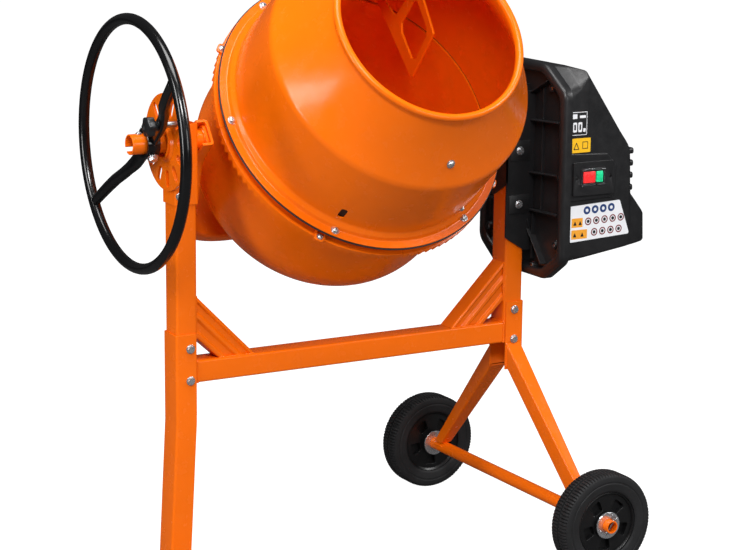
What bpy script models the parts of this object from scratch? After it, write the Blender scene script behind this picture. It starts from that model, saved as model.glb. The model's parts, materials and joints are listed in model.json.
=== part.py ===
"""Electric tilting-drum concrete mixer on a two-wheeled stand.

Frame: +Z up, -Y the side that the drum mouth faces, -X the handwheel side and +X the motor side.
The origin lies on the floor, under the middle of the mixer's outer box.
Three working frames are used, each given by an empty:
  stand      X along the tilt axis, zero midway between the posts, Z zero on the floor
  tilt_axis  the tilting frame: x along the tilt axis, z along the drum's axis towards its mouth
  others     the same two orientations, with the origin on the axis of one moving piece
"""

import math

import bmesh
import bpy
from mathutils import Vector

MM = 0.001
GAP = 0.3 * MM                      # clearance between pieces that touch

# ---- driving dimensions -------------------------------------------------------------------
TILT_HEIGHT = 837.7 * MM            # height of the tilt axis over the floor
DRUM_LEAN = math.radians(53.28)     # drum axis, measured from vertical towards -Y
SHIFT = Vector((-69.0, 20.65, 0.0)) * MM   # stand frame's origin, seen from the mixer's origin

TUBE_WIDTH = 41.0 * MM              # posts and legs, along X
TUBE_DEPTH = 49.0 * MM              # posts, along Y
TUBE_WALL = 2.0 * MM
LEFT_POST_X = -348.4 * MM           # middle of the left post
RIGHT_POST_X = 362.4 * MM           # middle of the right post
LEFT_POST_Z = (330 * MM, 812 * MM)
RIGHT_POST_Z = (392 * MM, 872 * MM)
BEAM_Z = (391.7 * MM, 433.0 * MM)
BEAM_DEPTH = 47.8 * MM
SHEET = 2.6 * MM                    # folded sheet brackets and leg channel

LEG_TOP = 485 * MM
LEG_KINK = 318 * MM                 # below this the left leg leans outwards
LEG_LEAN = math.radians(3.0)
FOOT_SIZE = Vector((46, 230, 22)) * MM

LEG_BOLT_X = -343.5 * MM
AXLE_BOLT_X = 364.0 * MM
STAND_BOLT_Z = (458 * MM, 398 * MM)      # the two bolts through the foot of each post
HOUSING_BOLT_X = 367.0 * MM
HOUSING_BOLT_Z = (775 * MM, 669 * MM)
BOLT_RADIUS = 5 * MM
AXLE_BRACKET_Z = (337 * MM, 474 * MM)
TILT_BRACKET_Z = (725 * MM, 872 * MM)

AXLE_X = 379 * MM
AXLE_RADIUS = 12.5 * MM
AXLE_HALF = 355 * MM
WHEEL_RADIUS = 100 * MM
WHEEL_Y = (292 * MM, 342 * MM)      # inner and outer face of a tyre
RIM_RADIUS = 64 * MM

A_LEG_X = (364 * MM, 379 * MM)      # an A-frame leg's centre line, near its top and its foot
A_LEG_Z = (372 * MM, 120 * MM)      # the two heights that the next table holds for
A_LEGS = {                          # |y| of the centre line, width along X, depth across
    "front_axle_leg": ((20.4 * MM, 34 * MM, 35.6 * MM), (255.6 * MM, 18 * MM, 41 * MM)),
    "rear_axle_leg": ((12.5 * MM, 40 * MM, 34 * MM), (248.0 * MM, 28 * MM, 21 * MM)),
}
A_LEG_LIMIT = 284 * MM              # |y| that its outer edge stops at, clear of the wheel

BRACE_DEPTH = 40 * MM
BRACE_ON_POST = (475 * MM, 554 * MM)
BRACE_ON_BEAM = (46 * MM, 120 * MM)     # distances from the post's inner face

# drum, in the tilting frame: (radius, height along the drum's axis)
SHELL = 2.5 * MM
FLANGE_RADIUS = 282 * MM
FLANGE_TOP = 65.3 * MM
SEAL = 1.6 * MM
DRUM_RADIUS = 258 * MM
CREASE = (254 * MM, 238 * MM)
MOUTH = (170 * MM, 355 * MM)
MOUTH_BEAD = 6.5 * MM
BOWL_RADIUS = 256 * MM
BOWL_CORNER = 140 * MM              # radius of the bowl's rounded lower edge
BOWL_CORNER_Z = -116 * MM
DRUM_SEGMENTS = 40

# ring gear and pinion
RING_TEETH = 108
PINION_TEETH = 12
RING_SEGMENTS = 4
RING_INNER = 262 * MM
RING_OUTER = 285 * MM
TOOTH_HEIGHT = 8 * MM

# yoke
YOKE_GAP = 41.5 * MM                # bowl to yoke
YOKE_SHEET = 5 * MM
YOKE_FLANGE = 18 * MM
YOKE_HEAD = 27 * MM                 # how far the arms rise over the tilt axis

# tilting gear
TRUNNION_RADIUS = 18.5 * MM
TRUNNION_END = -448 * MM
PIVOT_X = -410 * MM                 # pivot bolt of the handwheel
RIM_X = -440.8 * MM                 # plane of the handwheel's rim
RIM_CENTRE_RADIUS = 222.5 * MM
RIM_TUBE = 10.2 * MM
DISC_X = (-377.6 * MM, -371.9 * MM)
DISC_RADIUS = 88 * MM
DISC_SLOTS = 12
SLOT_RADIUS = 66 * MM               # middle of a slot
LOCK_LENGTH = 12 * MM
KNOB_RADIUS = 63 * MM               # the star knob's distance from the tilt axis

# drive
SHAFT_RADIUS = 10.5 * MM
RIGHT_TRUNNION = (11.2 * MM, 15.6 * MM)
BELT_X = (424 * MM, 436 * MM)
BELT = 3 * MM                       # thickness; it runs a little clear of both pulleys
BELT_CLEARANCE = 0.9 * MM
PULLEY_SEAT = 86.7 * MM             # radius under the belt, on the drive shaft
MOTOR_PULLEY_SEAT = 7.5 * MM        # nine times smaller at the middle of the belt
PULLEY_LIP = 3.5 * MM
MOTOR_Z = 655 * MM
MOTOR_RADIUS = 57 * MM

# housing
TRAY_X = (387 * MM, 408 * MM)
TRAY_Z = (527 * MM, 950 * MM)
COVER_END = 589 * MM
PANEL_Y = -143 * MM                 # the housing's front face, which carries the switch
SWITCH_X = (411 * MM, 506 * MM)
SWITCH_Z = (700 * MM, 765 * MM)
SWITCH_Y = -150.5 * MM

COLOURS = {
    "orange_paint": ((0.95, 0.24, 0.01), 0.30, 0.0),
    "black_paint": ((0.012, 0.012, 0.014), 0.22, 0.0),
    "black_plastic": ((0.03, 0.03, 0.032), 0.45, 0.0),
    "tyre_rubber": ((0.035, 0.035, 0.037), 0.75, 0.0),
    "seal_rubber": ((0.02, 0.02, 0.02), 0.6, 0.0),
    "zinc": ((0.62, 0.63, 0.65), 0.32, 1.0),
    "steel": ((0.45, 0.45, 0.46), 0.38, 1.0),
    "aluminium": ((0.70, 0.71, 0.72), 0.40, 1.0),
    "red_plastic": ((0.75, 0.03, 0.03), 0.35, 0.0),
    "green_plastic": ((0.02, 0.42, 0.22), 0.35, 0.0),
    "clear_plastic": ((0.85, 0.88, 0.90), 0.12, 0.0),
}


# ---- building blocks ----------------------------------------------------------------------
def clear_scene():
    for old in list(bpy.data.objects):
        bpy.data.objects.remove(old, do_unlink=True)


def material(name):
    found = bpy.data.materials.get(name)
    if found:
        return found
    colour, roughness, metallic = COLOURS[name]
    made = bpy.data.materials.new(name)
    made.use_nodes = True
    shader = made.node_tree.nodes["Principled BSDF"]
    shader.inputs["Base Color"].default_value = (*colour, 1.0)
    shader.inputs["Roughness"].default_value = roughness
    shader.inputs["Metallic"].default_value = metallic
    return made


def empty(name, parent, location, lean=0.0):
    """A named frame; lean turns it about X."""
    frame = bpy.data.objects.new(name, None)
    bpy.context.scene.collection.objects.link(frame)
    frame.parent = parent
    frame.location = location
    frame.rotation_euler = (lean, 0.0, 0.0)
    return frame


def place(name, bm, colour, frame, smooth=35.0):
    """Turns a bmesh, drawn in the coordinates of the frame's parent frame, into an object."""
    bmesh.ops.remove_doubles(bm, verts=bm.verts, dist=1e-6)
    bmesh.ops.recalc_face_normals(bm, faces=bm.faces)
    mesh = bpy.data.meshes.new(name)
    bm.to_mesh(mesh)
    bm.free()
    mesh.shade_smooth()
    mesh.set_sharp_from_angle(angle=math.radians(smooth))
    mesh.materials.append(material(colour))
    part = bpy.data.objects.new(name, mesh)
    bpy.context.scene.collection.objects.link(part)
    part.parent = frame["frame"]
    part.location = frame["offset"]
    return part


def axis_frame(name, parent, point):
    """A joint's empty on its axis, whose pieces are still drawn in the parent's coordinates."""
    return {"frame": empty(name, parent, point), "offset": -Vector(point)}


def skin(loops, ring=False):
    """A closed body through loops of equal length: capped at both ends, or closed in a ring."""
    bm = bmesh.new()
    rows = [[bm.verts.new(point) for point in loop] for loop in loops]
    count = len(rows[0])
    pairs = list(zip(rows, rows[1:]))
    if ring:
        pairs.append((rows[-1], rows[0]))
    for low, high in pairs:
        for i in range(count):
            j = (i + 1) % count
            bm.faces.new((low[i], low[j], high[j], high[i]))
    if not ring:
        bm.faces.new(list(reversed(rows[0])))
        bm.faces.new(rows[-1])
    return bm


AXES = {
    "x": lambda r, a, h: Vector((h, r * math.cos(a), r * math.sin(a))),
    "y": lambda r, a, h: Vector((r * math.sin(a), h, r * math.cos(a))),
    "z": lambda r, a, h: Vector((r * math.cos(a), r * math.sin(a), h)),
}


def turned(profile, axis="z", centre=(0, 0, 0), segments=24):
    """A body turned about an axis through the centre, from an outline of (radius, height).

    An outline that starts and ends on the axis makes a solid, and any other makes a ring.
    """
    point = AXES[axis]
    centre = Vector(centre)
    angles = [2 * math.pi * i / segments for i in range(segments)]
    on_axis = profile[0][0] == 0 and profile[-1][0] == 0
    if not on_axis:
        return skin([[centre + point(r, a, h) for r, h in profile] for a in angles], ring=True)
    rim = profile[1:-1]
    bm = skin([[centre + point(r, a, h) for a in angles] for r, h in rim])
    return bm


def sleeve(inner, outer, low, high, axis="z", centre=(0, 0, 0), segments=24):
    """A plain ring or tube."""
    outline = [(inner, low), (outer, low), (outer, high), (inner, high)]
    return turned(outline, axis, centre, segments)


def rod(radius, low, high, axis="z", centre=(0, 0, 0), segments=16):
    """A plain solid cylinder."""
    return turned([(0, low), (radius, low), (radius, high), (0, high)], axis, centre, segments)


def box(low, high):
    x0, y0, z0 = low
    x1, y1, z1 = high
    base = [(x0, y0), (x1, y0), (x1, y1), (x0, y1)]
    return skin([[(x, y, z0) for x, y in base], [(x, y, z1) for x, y in base]])


def extruded(outline, low, high, axis):
    """A prism: the outline is in the two other axes, in X, Y, Z order."""
    def at(a, b, h):
        return {"x": (h, a, b), "y": (a, h, b), "z": (a, b, h)}[axis]
    return skin([[at(a, b, low) for a, b in outline], [at(a, b, high) for a, b in outline]])


def plate(outline, holes, low, high, axis):
    """A flat plate with holes through it, along an axis."""
    def at(a, b, h):
        return {"x": (h, a, b), "y": (a, h, b), "z": (a, b, h)}[axis]
    bm = bmesh.new()
    edges = []
    for loop in [outline] + holes:
        verts = [bm.verts.new(at(a, b, low)) for a, b in loop]
        edges += [bm.edges.new((verts[i - 1], verts[i])) for i in range(len(verts))]
    bmesh.ops.triangle_fill(bm, use_beauty=True, use_dissolve=False, edges=edges)
    grown = bmesh.ops.extrude_face_region(bm, geom=list(bm.faces))
    lifted = [item for item in grown["geom"] if isinstance(item, bmesh.types.BMVert)]
    step = Vector(at(0, 0, high)) - Vector(at(0, 0, low))
    bmesh.ops.translate(bm, verts=lifted, vec=step)
    return bm


def rect_tube(centre, width, depth, low, high, wall):
    """An upright rectangular tube, open at both ends."""
    cx, cy = centre

    def ring(inset, z):
        a = width / 2 - inset
        b = depth / 2 - inset
        return [(cx - a, cy - b, z), (cx + a, cy - b, z), (cx + a, cy + b, z), (cx - a, cy + b, z)]
    return skin([ring(0, low), ring(0, high), ring(wall, high), ring(wall, low)], ring=True)


def arc(centre, radius, start, stop, steps):
    """Points on an arc, with its angles in degrees."""
    found = []
    for i in range(steps + 1):
        angle = math.radians(start + (stop - start) * i / steps)
        found.append((centre[0] + radius * math.cos(angle), centre[1] + radius * math.sin(angle)))
    return found


def cutter(name, bm, frame):
    """A wire-only body that other pieces are cut with."""
    tool = place(name, bm, "steel", frame)
    tool.hide_render = True
    tool.display_type = "WIRE"
    return tool


def add_body(bm, extra):
    """Copies one bmesh into another, as a separate body."""
    bmesh.ops.recalc_face_normals(extra, faces=extra.faces)
    mesh = bpy.data.meshes.new("extra")
    extra.to_mesh(mesh)
    extra.free()
    bm.from_mesh(mesh)
    bpy.data.meshes.remove(mesh)


def boolean(part, tool, operation="DIFFERENCE"):
    step = part.modifiers.new(tool.name, "BOOLEAN")
    step.operation = operation
    step.solver = "EXACT"
    step.object = tool
    return part


# ---- stand --------------------------------------------------------------------------------
def posts(stand, bolt_holes):
    left = place("left_post", rect_tube((LEFT_POST_X, 0), TUBE_WIDTH, TUBE_DEPTH, *LEFT_POST_Z,
                                        TUBE_WALL), "orange_paint", stand)
    right = place("right_post", rect_tube((RIGHT_POST_X, 0), TUBE_WIDTH, TUBE_DEPTH,
                                          *RIGHT_POST_Z, TUBE_WALL), "orange_paint", stand)
    bore = rod(RIGHT_TRUNNION[1] + 4 * MM, RIGHT_POST_X - TUBE_WIDTH, RIGHT_POST_X + TUBE_WIDTH,
               "x", (0, 0, TILT_HEIGHT), 20)
    boolean(right, cutter("cut_post_bore", bore, stand))
    boolean(left, bolt_holes["left"])
    boolean(right, bolt_holes["right"])
    boolean(right, bolt_holes["housing"])


def crossbeam(stand):
    """A horizontal rectangular tube between the posts."""
    low = LEFT_POST_X + TUBE_WIDTH / 2 + GAP
    high = RIGHT_POST_X - TUBE_WIDTH / 2 - GAP
    middle = sum(BEAM_Z) / 2
    rise = (BEAM_Z[1] - BEAM_Z[0]) / 2

    def ring(inset, x):
        a = BEAM_DEPTH / 2 - inset
        b = rise - inset
        return [(x, -a, middle - b), (x, a, middle - b), (x, a, middle + b), (x, -a, middle + b)]
    loops = [ring(0, low), ring(0, high), ring(TUBE_WALL, high), ring(TUBE_WALL, low)]
    place("crossbeam", skin(loops, ring=True), "orange_paint", stand)


def brace(name, stand, post_face, side):
    """A pressed channel from post to beam: a web in front and two flanges behind it."""
    post = post_face + side * GAP
    beam = BEAM_Z[1] + GAP
    low, high = BRACE_ON_POST
    near, far = BRACE_ON_BEAM
    band = [(post, high), (post_face + side * far, beam), (post_face + side * near, beam),
            (post, low)]
    front = -BRACE_DEPTH / 2
    wall = SHEET * 1.42
    inner = [(post, high - wall), (post_face + side * (far - wall), beam),
             (post_face + side * (near + wall), beam), (post, low + wall)]
    part = place(name, extruded(band, front, BRACE_DEPTH / 2, "y"), "orange_paint", stand)
    # the hollow behind the web runs out of the channel at both ends and at the back
    reach = 30 * MM
    hollow = [(post - side * reach, high - wall + reach), inner[0], inner[1],
              (inner[1][0] + side * reach, beam - reach),
              (inner[2][0] + side * reach, beam - reach), inner[2], inner[3],
              (post - side * reach, low + wall + reach)]
    tool = cutter("cut_" + name, extruded(hollow, front + SHEET, BRACE_DEPTH, "y"), stand)
    boolean(part, tool)


def channel_loop(x_open, x_web, half, sheet, z, shift=0.0):
    """Outline, at one height, of a channel round a post: a web and two flanges along X."""
    step = math.copysign(sheet, x_open - x_web)
    outline = [(x_open, -half), (x_web, -half), (x_web, half), (x_open, half),
               (x_open, half - sheet), (x_web + step, half - sheet),
               (x_web + step, -half + sheet), (x_open, -half + sheet)]
    return [(x + shift, y, z) for x, y in outline]


def left_leg(stand, bolt_holes):
    """The folded leg that wraps the left post and leans outwards below it."""
    half = TUBE_DEPTH / 2 + GAP + SHEET
    web = LEFT_POST_X - TUBE_WIDTH / 2 - GAP - SHEET
    edge = LEFT_POST_X + TUBE_WIDTH / 2 - 3 * MM
    foot_top = FOOT_SIZE.z + GAP
    lean = math.tan(LEG_LEAN) * (foot_top - LEG_KINK)
    loops = [channel_loop(edge, web, half, SHEET, foot_top, lean),
             channel_loop(edge, web, half, SHEET, LEG_KINK),
             channel_loop(edge, web, half, SHEET, LEG_TOP)]
    leg = place("left_leg", skin(loops), "orange_paint", stand)
    boolean(leg, bolt_holes["left"])
    centre_x = LEFT_POST_X + math.tan(LEG_LEAN) * (0 - LEG_KINK)

    def ring(inset, y):
        a = FOOT_SIZE.x / 2 - inset
        low, high = inset, FOOT_SIZE.z - inset
        return [(centre_x - a, y, low), (centre_x + a, y, low), (centre_x + a, y, high),
                (centre_x - a, y, high)]
    b = FOOT_SIZE.y / 2
    loops = [ring(0, -b), ring(0, b), ring(TUBE_WALL, b), ring(TUBE_WALL, -b)]
    place("left_foot", skin(loops, ring=True), "orange_paint", stand)


def axle_frame(stand, bolt_holes):
    """The bracket on the right post, the two A-frame legs and the axle tube."""
    half = TUBE_DEPTH / 2 + GAP + SHEET
    web = RIGHT_POST_X + TUBE_WIDTH / 2 + GAP + SHEET
    edge = RIGHT_POST_X - TUBE_WIDTH / 2 + 3 * MM
    loops = [channel_loop(edge, web, half, SHEET, z) for z in AXLE_BRACKET_Z]
    bracket = place("axle_bracket", skin(loops), "orange_paint", stand)
    boolean(bracket, bolt_holes["right"])
    for name, side in (("front_axle_leg", -1), ("rear_axle_leg", 1)):
        axle_leg(name, side, stand)
    axle = sleeve(AXLE_RADIUS - 2.5 * MM, AXLE_RADIUS, -AXLE_HALF, AXLE_HALF, "y",
                  (AXLE_X, 0, WHEEL_RADIUS), 20)
    place("axle_tube", axle, "orange_paint", stand)


def axle_leg(name, side, stand):
    """A tapered box leg from the face of the bracket down to the top of the axle tube."""
    (top_y, _, _), (foot_y, _, _) = A_LEGS[name]
    along = Vector((0, foot_y - top_y, A_LEG_Z[1] - A_LEG_Z[0])).normalized()
    across = Vector((0, -along.z, along.y))
    floor_z = WHEEL_RADIUS + AXLE_RADIUS + GAP
    bracket_face = TUBE_DEPTH / 2 + SHEET + 2 * GAP

    def corner(u, v, inset, at_top):
        start, stop = [Vector((x + u * (width / 2 - inset), y, z)) + across * v * (depth / 2 - inset)
                       for x, z, (y, width, depth) in zip(A_LEG_X, A_LEG_Z, A_LEGS[name])]
        run = stop - start
        if at_top:
            point = start + run * ((bracket_face - start.y) / run.y)
        else:
            to_axle = (floor_z - start.z) / run.z
            to_wheel = (A_LEG_LIMIT - start.y) / run.y
            point = start + run * min(to_axle, to_wheel)
        return (point.x, side * point.y, point.z)

    def ring(inset, at_top):
        return [corner(u, v, inset, at_top) for u, v in ((-1, -1), (1, -1), (1, 1), (-1, 1))]
    loops = [ring(0, True), ring(0, False), ring(TUBE_WALL, False), ring(TUBE_WALL, True)]
    place(name, skin(loops, ring=True), "orange_paint", stand)


def through_bolt(name, stand, x, z, half):
    """A hexagon bolt along Y, with its nut behind."""
    radius = BOLT_RADIUS
    head = radius * 1.6
    front = -half - GAP
    back = half + GAP
    loops = []
    for r, h in ((head, front - 6.5 * MM), (head, front), (radius, front), (radius, back),
                 (head, back), (head, back + 7 * MM)):
        turns = [math.pi * i / 3 for i in range(6)]
        loops.append([(x + r * math.cos(a), h, z + r * math.sin(a)) for a in turns])
    place(name, skin(loops), "zinc", stand)


def bolt_hole_cutters(stand):
    """Clearance holes for the bolts through the posts."""
    reach = 60 * MM
    made = {}
    for key, x, heights in (("left", LEG_BOLT_X, STAND_BOLT_Z), ("right", AXLE_BOLT_X, STAND_BOLT_Z),
                            ("housing", HOUSING_BOLT_X, HOUSING_BOLT_Z)):
        bm = bmesh.new()
        for z in heights:
            add_body(bm, rod(BOLT_RADIUS + 2 * GAP, -reach, reach, "y", (x, 0, z), 8))
        made[key] = cutter("cut_bolts_" + key, bm, stand)
    return made


def bolts(stand):
    bracket = TUBE_DEPTH / 2 + GAP + SHEET
    saddle = TUBE_DEPTH / 2 + GAP + 4 * MM
    for prefix, x, heights, half in (("leg", LEG_BOLT_X, STAND_BOLT_Z, bracket),
                                     ("axle", AXLE_BOLT_X, STAND_BOLT_Z, bracket),
                                     ("housing", HOUSING_BOLT_X, HOUSING_BOLT_Z, saddle)):
        for place_name, z in zip(("upper", "lower"), heights):
            through_bolt("%s_bolt_%s" % (prefix, place_name), stand, x, z, half)


def tilt_bracket(stand):
    """The channel on top of the left post that carries the trunnion, and its locking disc."""
    half = TUBE_DEPTH / 2
    front = -half - GAP - SHEET
    outer_x = LEFT_POST_X - TUBE_WIDTH / 2 - GAP - SHEET
    inner_x = LEFT_POST_X + TUBE_WIDTH / 2 + GAP + SHEET
    outline = [(outer_x, front), (inner_x, front), (inner_x, half), (inner_x - SHEET, half),
               (inner_x - SHEET, front + SHEET), (outer_x + SHEET, front + SHEET),
               (outer_x + SHEET, half), (outer_x, half)]
    bracket = place("tilt_bracket", extruded(outline, *TILT_BRACKET_Z, "z"), "orange_paint", stand)
    bore = rod(TRUNNION_RADIUS + GAP, outer_x - 9 * MM, inner_x + 9 * MM, "x",
               (0, 0, TILT_HEIGHT), 32)
    boolean(bracket, cutter("cut_trunnion", bore, stand))
    slots = []
    for i in range(DISC_SLOTS):
        turn = DRUM_LEAN + math.pi / 2 + 2 * math.pi * i / DISC_SLOTS
        slots.append(slot_outline(turn))
    centre = (0, TILT_HEIGHT)
    rim = arc(centre, DISC_RADIUS, 0, 350, 35)
    hole = arc(centre, TRUNNION_RADIUS + 3 * GAP, 0, 337.5, 15)
    place("locking_disc", plate(rim, slots + [hole], *DISC_X, "x"), "orange_paint", stand)


def slot_outline(turn):
    """A radial slot with round ends in the locking disc."""
    half_width = 6.5 * MM
    half_length = 9 * MM
    points = []
    for end, start in ((1, -90), (-1, 90)):
        for a, b in arc((end * half_length, 0), half_width, start, start + 180, 3):
            radius = SLOT_RADIUS + a
            points.append((radius * math.cos(turn) - b * math.sin(turn),
                           TILT_HEIGHT + radius * math.sin(turn) + b * math.cos(turn)))
    return points


# ---- wheels -------------------------------------------------------------------------------
def wheel(prefix, side, frame, stand):
    """A solid tyre on a rim with five pockets, and the washer that holds it on the axle."""
    inner, outer = WHEEL_Y
    centre = (AXLE_X, 0, WHEEL_RADIUS)
    tyre = [(RIM_RADIUS + GAP, inner + 3 * MM), (WHEEL_RADIUS - 6 * MM, inner),
            (WHEEL_RADIUS - 1.5 * MM, inner + 3.5 * MM), (WHEEL_RADIUS, inner + 8 * MM),
            (WHEEL_RADIUS, outer - 8 * MM), (WHEEL_RADIUS - 1.5 * MM, outer - 3.5 * MM),
            (WHEEL_RADIUS - 6 * MM, outer), (RIM_RADIUS + GAP, outer - 3 * MM)]
    tyre = [(r, side * y) for r, y in tyre]
    place(prefix + "_tyre", turned(tyre, "y", centre, 24), "tyre_rubber", frame)
    hub = 20 * MM
    bore = AXLE_RADIUS + GAP
    disc = (inner + 26 * MM, inner + 42 * MM)
    rim = [(bore, inner - 5 * MM), (hub, inner - 5 * MM), (hub, disc[0]),
           (RIM_RADIUS - 5 * MM, disc[0]), (RIM_RADIUS - 5 * MM, inner + 6 * MM),
           (RIM_RADIUS, inner + 6 * MM), (RIM_RADIUS, outer - 6 * MM),
           (RIM_RADIUS - 5 * MM, outer - 6 * MM), (RIM_RADIUS - 5 * MM, disc[1]),
           (hub, disc[1]), (hub, outer - 3 * MM), (bore, outer - 3 * MM)]
    rim = [(r, side * y) for r, y in rim]
    part = place(prefix + "_rim", turned(rim, "y", centre, 24), "black_plastic", frame)
    pockets = bmesh.new()
    for i in range(5):
        angle = math.radians(52 + 72 * i)
        outline = []
        for radius, half_turn in ((30, 17), (52, 15)):
            for sign in ((-1, 1) if radius == 30 else (1, -1)):
                a = angle + sign * math.radians(half_turn)
                outline.append((AXLE_X + radius * MM * math.cos(a),
                                WHEEL_RADIUS + radius * MM * math.sin(a)))
        add_body(pockets, extruded(outline, side * (disc[1] - 9 * MM), side * (disc[1] + 3 * MM),
                                   "y"))
    boolean(part, cutter("cut_" + prefix + "_rim", pockets, stand))
    washer = sleeve(bore, 26 * MM, side * (outer - 3 * MM + GAP), side * (outer + 0.3 * MM), "y",
                    centre, 16)
    place(prefix + "_washer", washer, "zinc", stand)


# ---- drum ---------------------------------------------------------------------------------
def drum_shells(drum):
    """The upper half with its cone and rolled mouth, the rubber seal, and the lower bowl."""
    flange_low = FLANGE_TOP - SHELL
    crease_r, crease_z = CREASE
    mouth_r, mouth_z = MOUTH
    bead = arc((mouth_r + MOUTH_BEAD, mouth_z), MOUTH_BEAD, -60, 200, 5)
    step = 9 * MM
    outer = [(FLANGE_RADIUS, flange_low), (FLANGE_RADIUS, FLANGE_TOP),
             (DRUM_RADIUS + step, FLANGE_TOP), (DRUM_RADIUS + step - 3 * MM, FLANGE_TOP + 7 * MM),
             (DRUM_RADIUS, FLANGE_TOP + 10 * MM), (crease_r, crease_z - 14 * MM),
             (crease_r - 4 * MM, crease_z + 4 * MM)]
    inner = [(mouth_r - 0.5 * MM, mouth_z - 4 * MM), (crease_r - 7 * MM, crease_z + 2 * MM),
             (crease_r - SHELL, crease_z - 14 * MM), (DRUM_RADIUS - SHELL, flange_low)]
    place("drum_top", turned(outer + bead + inner, "z", segments=DRUM_SEGMENTS),
          "orange_paint", drum)
    seal_top = flange_low - GAP
    seal_low = seal_top - SEAL
    place("drum_seal", sleeve(DRUM_RADIUS, FLANGE_RADIUS - 1 * MM, seal_low, seal_top,
                              segments=DRUM_SEGMENTS), "seal_rubber", drum)
    bowl_top = seal_low - GAP
    centre = (BOWL_RADIUS - BOWL_CORNER, BOWL_CORNER_Z)
    outside = arc(centre, BOWL_CORNER, 0, -90, 5)
    inside = arc(centre, BOWL_CORNER - SHELL, -90, 0, 5)
    bottom = outside[-1][1]
    boss = 20 * MM
    outline = ([(BOWL_RADIUS - SHELL, bowl_top), (FLANGE_RADIUS, bowl_top),
                (FLANGE_RADIUS, bowl_top - SHELL), (BOWL_RADIUS, bowl_top - SHELL)]
               + outside + [(boss, bottom), (boss, bottom + SHELL)] + inside)
    place("drum_bowl", turned(outline, "z", segments=DRUM_SEGMENTS), "orange_paint", drum)
    return bowl_top - SHELL, bottom


def ring_gear(drum, top):
    """Four cast segments, bolted under the flange, whose teeth point away from it."""
    pitch = 2 * math.pi / RING_TEETH
    per_segment = RING_TEETH // RING_SEGMENTS
    middle = (RING_INNER + RING_OUTER) / 2
    pinion_radius = middle * PINION_TEETH / RING_TEETH
    tip = pinion_radius - TOOTH_HEIGHT * 0.42
    root = tip + TOOTH_HEIGHT
    back = top - GAP
    clearance = GAP / middle
    for segment in range(RING_SEGMENTS):
        start = segment * per_segment * pitch
        stop = start + per_segment * pitch
        angles = [(start + clearance, root)]
        for tooth in range(per_segment):
            centre = start + (tooth + 0.5) * pitch
            angles += [(centre, tip), (centre + 0.5 * pitch, root)]
        angles[-1] = (stop - clearance, root)
        loops = []
        for angle, height in angles:
            loops.append([(r * math.cos(angle), r * math.sin(angle), h) for r, h in
                          ((RING_INNER, back), (RING_OUTER, back), (RING_OUTER, height),
                           (RING_INNER, height))])
        place("ring_gear_%d" % (segment + 1), skin(loops), "orange_paint", drum)


def paddles(drum):
    """Two flat lattice blades, one on each side of the drum's axis."""
    wall = math.sqrt((CREASE[0] - SHELL - 3 * MM) ** 2 - (103 * MM) ** 2) - 1 * MM
    outline = [(81, 1000 * wall), (106, 44), (112, 41), (221, 68), (226, 137),
               (229, 1000 * wall)]
    lower = [(195, 154), (135, 144), (125, 130), (128, 72), (140, 63), (198, 77), (207, 91),
             (207, 147)]
    upper = [(109, 208), (119, 173), (129, 167), (172, 171), (205, 176), (207, 208)]
    for number, side in ((1, 1), (2, -1)):
        def across(points):
            return [(side * v * MM, z * MM) for z, v in points]
        blade = plate(across(outline), [across(lower), across(upper)],
                      side * 97.5 * MM, side * 102.5 * MM, "x")
        place("paddle_%d" % number, blade, "orange_paint", drum)


def drum_bearing(drum, tilting, bottom):
    """The spindle under the bowl, its bearing in the yoke, and the nut that holds it."""
    shaft = 15 * MM
    top = bottom - GAP
    low = top - 74 * MM
    spindle = [(0, top), (72 * MM, top), (72 * MM, top - 6 * MM), (24 * MM, top - 9 * MM),
               (shaft, top - 14 * MM), (shaft, low), (0, low)]
    place("drum_spindle", turned(spindle, "z", segments=20), "steel", drum)
    housing = [(shaft + GAP, top - 15 * MM), (27 * MM, top - 15 * MM), (27 * MM, top - 58 * MM),
               (shaft + GAP, top - 58 * MM)]
    place("spindle_bearing", turned(housing, "z", segments=20), "steel", tilting)
    nut = [(shaft + GAP, top - 59 * MM), (24 * MM, top - 59 * MM), (24 * MM, top - 70 * MM),
           (shaft + GAP, top - 70 * MM)]
    place("spindle_nut", turned(nut, "z", segments=20), "zinc", drum)


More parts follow.
